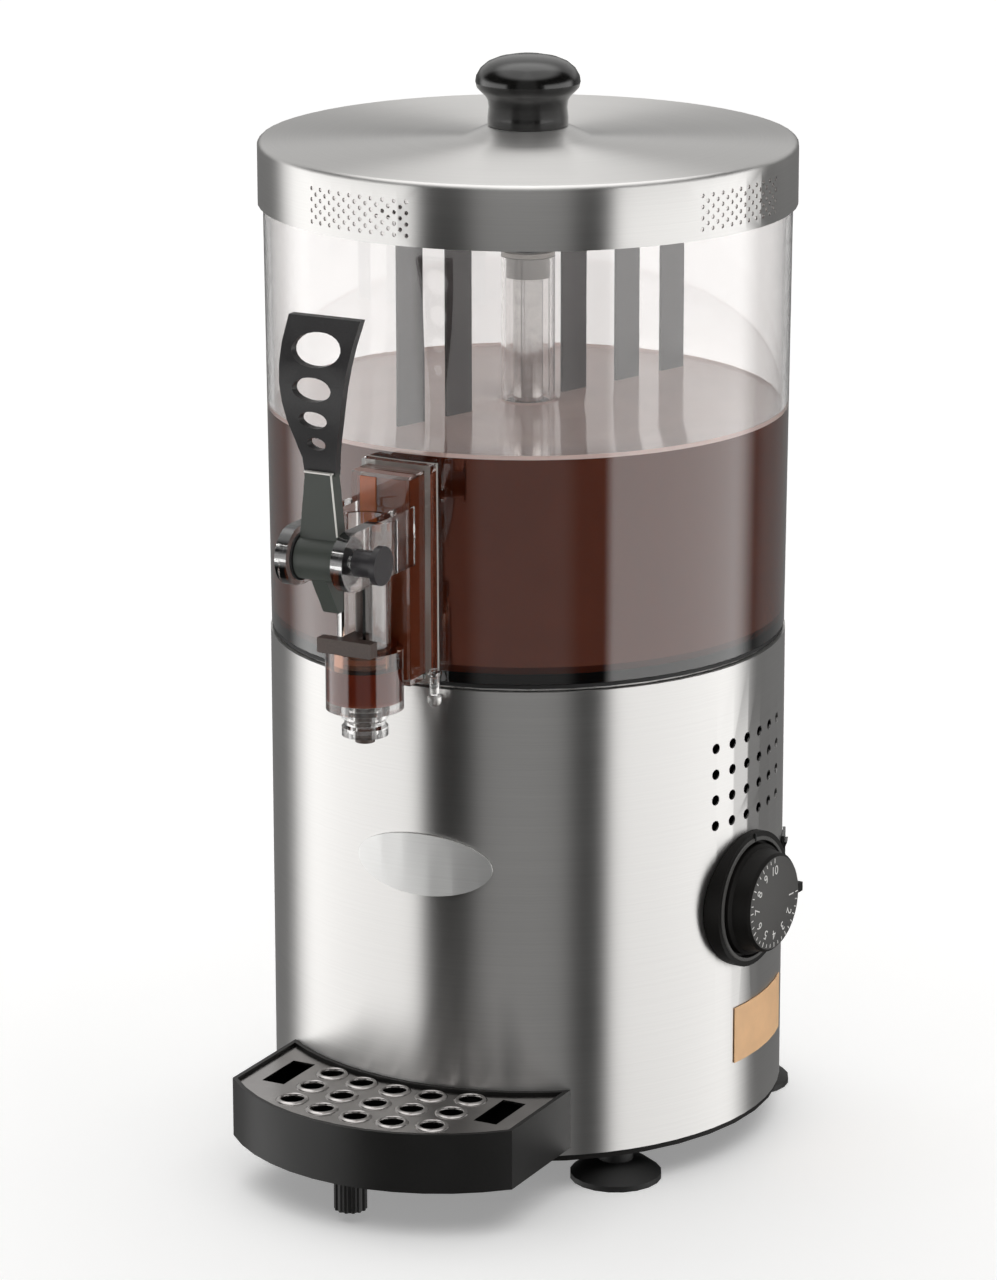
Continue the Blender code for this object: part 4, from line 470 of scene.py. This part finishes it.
NYLON = moulded("gear_nylon", (0.72, 0.70, 0.60), 0.45, 500.0, 0.1, 0.08)
CASE_GREY = moulded("gearbox_grey", (0.16, 0.165, 0.17), 0.5, 900.0, 0.2)
CERAMIC = moulded("thermostat_white", (0.70, 0.70, 0.66), 0.5, 600.0, 0.1, 0.05)
IVORY = moulded("terminal_ivory", (0.72, 0.68, 0.55), 0.5, 700.0, 0.1, 0.05)


def barrel_stain(made):
    """Marks the chamber's walls in the tap's barrel."""
    x, y, z = made.split(made.coords())
    out = made.math("ADD", y, TAP_Y)
    reach = made.length(x, out)
    near = made.span(reach, 0.0183, 0.0187, 1.0, 0.0)
    return made.math("MULTIPLY", near, made.within(z, 0.2500, 0.2760, 0.0012))


TANK_CLEAR = clear("tank_clear", (0.94, 0.925, 0.92), coat=1.0)
TAP_CLEAR = clear("tap_clear", (0.95, 0.945, 0.935), 0.02, 0.10, 1.0)
TAP_STAINED = clear(
    "tap_clear_stained", (0.95, 0.945, 0.935), 0.02, 0.10, 1.0, stain=((0.50, 0.24, 0.15), barrel_stain))
LABEL_FILM = moulded("label_film", (0.92, 0.56, 0.29), 0.42, 90.0, 0.04, 0.08)
BADGE_PALE = brushed("badge_satin", 0.95, 0.52, 0.0, 0.4, (1.0, 1.0, 0.99))
DRINK = chocolate("drink_body", (0.105, 0.019, 0.006))
# The drink's top: a pale cream colour that is partly painted light, plus a painted glow.
DRINK_TOP_PAINTED_LIGHT = chocolate("drink_surface", (0.90, 0.66, 0.60), True, 0.13, 0.14)
DRINK_THIN = chocolate("drink_in_tap", (0.26, 0.062, 0.026))
PRINT = moulded("print_white", (0.75, 0.74, 0.72), 0.5, 900.0, 0.02, 0.05)

LOOKS = {
    "base_pan": DIAL_BLACK, "housing_shell": BODY_STEEL, "bath_pan": BATH_STEEL, "tank_gasket": RUBBER,
    "heating_element": HEATER_STEEL, "heater_nut_left": BRASS, "heater_nut_right": BRASS,
    "motor_bracket": BRACKET_STEEL, "gearbox_case": CASE_GREY, "gearbox_cover": CASE_GREY,
    "shaft_bush": BRASS, "shaft_seal": RUBBER, "motor_housing": MOTOR_PAINT, "motor_winding": COPPER,
    "motor_end_cap": DIAL_BLACK, "thermostat_body": CERAMIC, "dial_bezel": DIAL_BLACK,
    "switch_body": SWITCH_BLACK, "terminal_block": IVORY, "cable_gland": DIAL_BLACK, "gland_nut": DIAL_BLACK,
    "name_badge": BADGE_PALE, "side_label": LABEL_FILM, "drive_shaft": SHAFT_STEEL, "output_gear": NYLON,
    "idler_gear": NYLON, "motor_rotor": SHAFT_STEEL, "thermostat_knob": DIAL_BLACK,
    "thermostat_spindle": SHAFT_STEEL, "power_rocker": SWITCH_BLACK, "drip_tray": TRAY_BLACK,
    "tray_peg": TRAY_BLACK, "drip_grate": GRATE_STEEL, "tank": TANK_CLEAR, "column_bush": WHITE_PLASTIC,
    "tap_body": TAP_STAINED, "tap_gasket": MILKY, "outlet_collar": TAP_CLEAR, "pivot_pin": LEVER_BLACK,
    "hub_washer_left": RUBBER, "hub_washer_right": RUBBER, "tap_lever": LEVER_TWO_TONE,
    "tap_piston": PISTON_TAUPE, "piston_ring": MILKY, "stirrer_shaft": SHAFT_STEEL,
    "stirrer_hub": BLADE_STEEL, "stirrer_arm": BLADE_STEEL, "stirrer_nut": SHAFT_STEEL, "lid": LID_STEEL,
    "lid_knob": KNOB_GLOSS, "knob_screw": SHAFT_STEEL,
}
for node, thing in NODES.items():
    look = LOOKS.get(node)
    if look is None:
        look = RUBBER if node.startswith("foot") else BLADE_STEEL
    thing.data.materials.clear()
    thing.data.materials.append(look)
    for face in thing.data.polygons:
        face.use_smooth = True
    joined = thing.modifiers.new("weld", "WELD")
    joined.merge_threshold = MERGE
    sharp = thing.modifiers.new("sharp", "EDGE_SPLIT")
    sharp.split_angle = radians(SHARP_ANGLE)


# The drink

def inner_r(height):
    share = (height - TANK_Z) / (TANK_RIM_Z - TANK_Z)
    return TANK_R + (TANK_RIM_R - TANK_R) * share - TANK_WALL


def make_drink():
    over = OVERLAP
    low = TANK_FLOOR_Z - over
    top = LIQUID_Z
    under = top - 0.0006
    side = [(inner_r(under) + over, under), (inner_r(low) + over, low + 0.004)]
    side += [(inner_r(low) - 0.004, low), (COLUMN_R + 0.0015, low), (COLUMN_R - over, low + 0.002)]
    side += [(COLUMN_R - over, under)]
    lathe("drink_in_tank", side, DRINK, "tank")
    r = inner_r(top)
    skin = [(COLUMN_R - over, top + 0.0009), (COLUMN_R + 0.0008, top + 0.0003), (COLUMN_R + 0.0025, top)]
    skin += [(0.05, top), (0.085, top), (r - 0.0035, top), (r - 0.0015, top + 0.0003)]
    skin += [(r + over, top + 0.0013), (r + over, top - 0.0008), (COLUMN_R - over, top - 0.0008)]
    lathe("drink_surface", skin[::-1], DRINK_TOP_PAINTED_LIGHT, "tank", smooth=70)
    mesh = bpy.data.meshes.new("drink_in_tap")
    bm = bmesh.new()
    for (x0, x1, y0, y1, z0, z1) in (
        (-0.0127, 0.0127, -0.1437, -0.1190, 0.2553, 0.3497),
        (-0.0087, 0.0087, -0.1500, -0.1420, 0.2558, 0.2637),
    ):
        box = bmesh.ops.create_cube(bm, size=1.0)["verts"]
        for vert in box:
            vert.co = Vector((
                x1 if vert.co.x > 0 else x0, y1 if vert.co.y > 0 else y0, z1 if vert.co.z > 0 else z0,
            )) + Vector((AXIS_X, AXIS_Y, 0))
    bm.to_mesh(mesh)
    bm.free()
    new_object("drink_in_duct", mesh, DRINK_THIN, "tank")
    chamber = [(0.0, 0.2648), (0.0152, 0.2648), (0.0152, 0.2492), (0.0, 0.2492)]
    lathe("drink_in_barrel", chamber, DRINK_THIN, "tank", (AXIS_X, AXIS_Y - TAP_Y, 0), 48, False)


make_drink()


# Vents in the lid's skirt

def make_vents():
    tool = bpy.data.meshes.new("vent_tool")
    bm = bmesh.new()
    for patch in range(VENT_PATCHES):
        for column in range(VENT_COLUMNS):
            rows = 4 if column % 2 == 0 else 3
            middle = VENT_FIRST_AZIMUTH + VENT_PATCH_STEP * patch
            azimuth = middle + (column - VENT_COLUMNS // 2) * VENT_COLUMN_STEP
            for row in range(rows):
                height = VENT_Z + (row - (rows - 1) / 2) * VENT_ROW_PITCH
                spot = side_matrix(azimuth, height) @ Matrix.Translation((0, 0, SKIRT_R))
                bmesh.ops.create_cone(
                    bm, cap_ends=True, segments=10, radius1=VENT_R, radius2=VENT_R, depth=VENT_DEPTH,
                    matrix=spot)
    bm.to_mesh(tool)
    bm.free()
    cutter = bpy.data.objects.new("vent_tool", tool)
    bpy.context.scene.collection.objects.link(cutter)
    lid = NODES["lid"]
    work = bpy.data.objects.new("vented", lid.data.copy())
    bpy.context.scene.collection.objects.link(work)
    joined = work.modifiers.new("weld", "WELD")
    joined.merge_threshold = MERGE
    cut = work.modifiers.new("holes", "BOOLEAN")
    cut.operation = "DIFFERENCE"
    cut.solver = "EXACT"
    cut.object = cutter
    bpy.context.view_layer.update()
    graph = bpy.context.evaluated_depsgraph_get()
    mesh = bpy.data.meshes.new_from_object(work.evaluated_get(graph))
    bpy.data.objects.remove(work)
    bpy.data.objects.remove(cutter)
    mesh.name = "lid_with_vents"
    shade(mesh, SHARP_ANGLE)
    made = new_object("lid_with_vents", mesh, LID_STEEL, "lid")
    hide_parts("lid")


make_vents()


# The thermostat's print, face, lip and mark

def text_mesh(body, size):
    curve = bpy.data.curves.new("digit", "FONT")
    curve.body = body
    curve.size = size
    curve.align_x = "CENTER"
    curve.align_y = "CENTER"
    curve.extrude = PRINT_EXTRUDE
    thing = bpy.data.objects.new("digit", curve)
    bpy.context.scene.collection.objects.link(thing)
    bpy.context.view_layer.update()
    mesh = bpy.data.meshes.new_from_object(thing)
    bpy.data.objects.remove(thing)
    return mesh


def make_dial_print():
    side = side_matrix(DIAL_AZIMUTH, DIAL_Z)
    front = DIAL_FRONT + PRINT_PROUD
    parts = []
    for i in range(DIGIT_COUNT):
        angle = radians(-DIGIT_STEP * i)
        place = Matrix.Translation((DIGIT_RING_R * cos(angle), DIGIT_RING_R * sin(angle), front))
        turn = Matrix.Rotation(angle - pi / 2, 4, "Z")
        parts.append((text_mesh(str(i + 1), DIGIT_SIZE), side @ place @ turn))
    wide, short, thick = TICK_SIZE
    for i in range(TICK_COUNT):
        angle = radians(-TICK_STEP * i)
        tick = bpy.data.meshes.new("tick")
        bm = bmesh.new()
        bmesh.ops.create_cube(bm, size=1.0)
        bm.to_mesh(tick)
        bm.free()
        tick.transform(Matrix.Diagonal((wide, short if i % 3 else LONG_TICK, thick, 1)))
        place = Matrix.Translation((TICK_RING_R * cos(angle), TICK_RING_R * sin(angle), front))
        parts.append((tick, side @ place @ Matrix.Rotation(angle - pi / 2, 4, "Z")))
    join_meshes("dial_print", parts, PRINT, "dial")
    high, low = front, DIAL_FRONT - 2 * PRINT_PROUD
    face = [(0.0, high), (0.0226, high), (0.0228, low), (0.0, low)]
    lathe("dial_face", face, DIAL_FACE, "dial", steps=64, closed=False, matrix=side)
    lip = [(0.0287, BEZEL_FRONT + 0.0005), (0.0301, BEZEL_FRONT + 0.0005), (0.0305, BEZEL_FRONT)]
    lip += [(0.0305, BEZEL_FRONT - 0.0004), (0.0287, BEZEL_FRONT - 0.0004)]
    lathe("dial_lip", lip, LIP_GREY, "base", steps=96, matrix=side)
    mark = bpy.data.meshes.new("dial_mark")
    bm = bmesh.new()
    bmesh.ops.create_cube(bm, size=1.0)
    bmesh.ops.bevel(bm, geom=bm.edges[:], offset=0.12, segments=2, affect="EDGES")
    bm.to_mesh(mark)
    bm.free()
    place = Matrix.Translation((0, MARK_RING_R, BEZEL_FRONT + 0.0003))
    mark.transform(side @ place @ Matrix.Diagonal((*MARK_SIZE, 1)))
    new_object("dial_mark", mark, RUBBER, "base")


make_dial_print()


# Small trim: the grate's rims, a pale strip of painted highlight on the lever's edges, the duct's window and
# the flange's clip

def bar(bm, start, end, y_low, y_high, half):
    """A straight strip in the XZ plane, from one point to another, in the tank's coordinates."""
    along = Vector((end[0] - start[0], 0, end[1] - start[1])).normalized() * half
    across = Vector((-along.z, 0, along.x))
    corners = []
    for y in (y_low, y_high):
        for point, sign in ((start, -1), (end, 1)):
            for way in (-1, 1):
                spot = Vector((point[0], y, point[1])) + along * sign * 0.5 + across * way
                corners.append(bm.verts.new(spot + Vector((AXIS_X, AXIS_Y, 0))))
    a, b, c, d, e, f, g, h = corners
    for face in ((a, b, d, c), (e, g, h, f), (a, c, g, e), (b, f, h, d), (a, e, f, b), (c, d, h, g)):
        bm.faces.new(face)


def make_trim():
    rim = [(0.0055, 0.0488), (0.0055, 0.0500), (0.0060, 0.0505), (0.0067, 0.0505), (0.0076, 0.0499)]
    rim += [(0.0080, 0.0495), (0.0080, 0.0492)]
    rings = []
    for column in range(GRATE_COLUMNS):
        x = (column - GRATE_COLUMNS // 2) * GRATE_COLUMN_PITCH
        bend = GRATE_BEND_R - (GRATE_BEND_R ** 2 - x * x) ** 0.5
        for row in range(GRATE_ROWS):
            y = GRATE_MID_Y + bend + (row - GRATE_ROWS // 2) * GRATE_ROW_PITCH
            one = lathe("rim", rim[::-1], RIM_STEEL, None, (AXIS_X + x, AXIS_Y + y, 0), 32, smooth=70)
            rings.append((one.data, Matrix.Identity(4)))
            bpy.data.objects.remove(one)
    join_meshes("grate_rims", rings, RIM_STEEL, "grate")
    # A thin pale strip along the lever's top and right edges: a painted highlight.
    glint_mesh = bpy.data.meshes.new("lever_painted_highlight")
    bm = bmesh.new()
    front = -PIVOT_Y - 0.0039
    bar(bm, (-0.0068, 0.3645), (0.0068, 0.3645), front - 0.0004, front + 0.0030, 0.00034)
    bar(bm, (0.0067, 0.3645), (0.0096, 0.3362), front - 0.0004, front + 0.0004, 0.00026)
    bmesh.ops.recalc_face_normals(bm, faces=bm.faces)
    bm.to_mesh(glint_mesh)
    bm.free()
    new_object("lever_painted_highlight", glint_mesh, PAINTED_EDGE_HIGHLIGHT, "lever")
    window = bpy.data.meshes.new("duct_window")
    bm = bmesh.new()
    bar(bm, (-0.0063, 0.3270), (-0.0063, 0.3480), -0.1466, -0.1458, 0.0042)
    bmesh.ops.recalc_face_normals(bm, faces=bm.faces)
    bmesh.ops.bevel(bm, geom=bm.edges[:], offset=0.0002, segments=2, affect="EDGES")
    bm.to_mesh(window)
    bm.free()
    new_object("duct_window", window, WINDOW_AMBER, "tank")
    clip = [(0.0, 0.2575), (0.0028, 0.2575), (0.0034, 0.2566), (0.0034, 0.2548), (0.0022, 0.2538)]
    clip += [(0.0022, 0.2455), (0.0032, 0.2446), (0.0032, 0.2420), (0.0020, 0.2404), (0.0, 0.2404)]
    lathe("flange_clip", clip, TAP_CLEAR, "tank", (AXIS_X + 0.0190, AXIS_Y - 0.1300, 0), 32, False)


make_trim()


# Light

def make_world():
    world = bpy.data.worlds.new("studio")
    bpy.context.scene.world = world
    world.use_nodes = True
    tree = world.node_tree
    back = tree.nodes["Background"]

    def add(kind, **settings):
        made = tree.nodes.new("ShaderNode" + kind)
        for key, value in settings.items():
            setattr(made, key, value)
        return made

    def math(operation, first, second=0.0):
        made = add("Math", operation=operation)
        for socket, value in zip(made.inputs, (first, second)):
            if isinstance(value, (int, float)):
                socket.default_value = value
            else:
                tree.links.new(value, socket)
        return made.outputs[0]

    def edge(value, low, high):
        made = add("MapRange", interpolation_type="SMOOTHSTEP")
        made.inputs[1].default_value = low
        made.inputs[2].default_value = high
        tree.links.new(value, made.inputs[0])
        return made.outputs[0]

    where = add("TexCoord")
    split = add("SeparateXYZ")
    tree.links.new(where.outputs["Generated"], split.inputs[0])
    x, y, z = split.outputs
    turn = math("MULTIPLY", math("ARCTAN2", x, math("MULTIPLY", y, -1.0)), 180 / pi)
    turn = math("SUBTRACT", turn, LIGHT_TURN)
    turn = math("SUBTRACT", math("MODULO", math("ADD", turn, 900.0), 360.0), 180.0)

    def band(low, high, soft_low, soft_high, strength):
        rise = edge(turn, low - soft_low, low + soft_low)
        fall = math("SUBTRACT", 1.0, edge(turn, high - soft_high, high + soft_high))
        return math("MULTIPLY", math("MULTIPLY", rise, fall), strength)

    level = math("MULTIPLY", edge(z, -0.62, -0.34), math("SUBTRACT", 1.0, edge(z, 0.06, 0.34)))
    boxes = math("ADD", band(*LEFT_BOX), band(*RIGHT_BOX))
    total = math("MULTIPLY", boxes, level)
    total = math("ADD", total, band(*MIDDLE_BOX))
    behind = math("SUBTRACT", 1.0, band(*FRONT_SPAN))
    back_low = math("MULTIPLY", behind, BACK_LOW)
    back_high = math("MULTIPLY", math("MULTIPLY", behind, edge(z, 0.02, 0.22)), BACK_HIGH)
    total = math("ADD", total, math("ADD", back_low, back_high))
    total = math("ADD", total, math("MULTIPLY", edge(z, 0.62, 0.86), OVERHEAD))
    total = math("ADD", total, AMBIENT)
    seen = add("LightPath")
    mix = add("Mix", data_type="FLOAT")
    tree.links.new(seen.outputs["Is Camera Ray"], mix.inputs[0])
    tree.links.new(total, mix.inputs[2])
    mix.inputs[3].default_value = 1.0
    tree.links.new(mix.outputs[0], back.inputs["Strength"])
    back.inputs["Color"].default_value = (1.0, 0.995, 0.985, 1.0)


make_world()


def make_floor():
    mesh = bpy.data.meshes.new("floor")
    corners = [(x * FLOOR_HALF, y * FLOOR_HALF, 0) for x, y in ((-1, -1), (1, -1), (1, 1), (-1, 1))]
    mesh.from_pydata(corners, [], [(0, 1, 2, 3)])
    made = Shader("floor_pale")
    grain = made.noise(made.coords(), 3.0, 2.0)
    made.set(
        Base_Color=made.ramp(grain, ((0.3, (0.90, 0.90, 0.90)), (0.7, (0.93, 0.93, 0.93)))),
        Roughness=0.9,
        Emission_Color=(1.0, 1.0, 1.0),
        Emission_Strength=FLOOR_GLOW,
    )
    floor = new_object("floor", mesh, made.material, None)
    floor.visible_glossy = False


make_floor()
bpy.context.scene.view_settings.view_transform = "Standard"
bpy.context.scene.view_settings.look = "None"
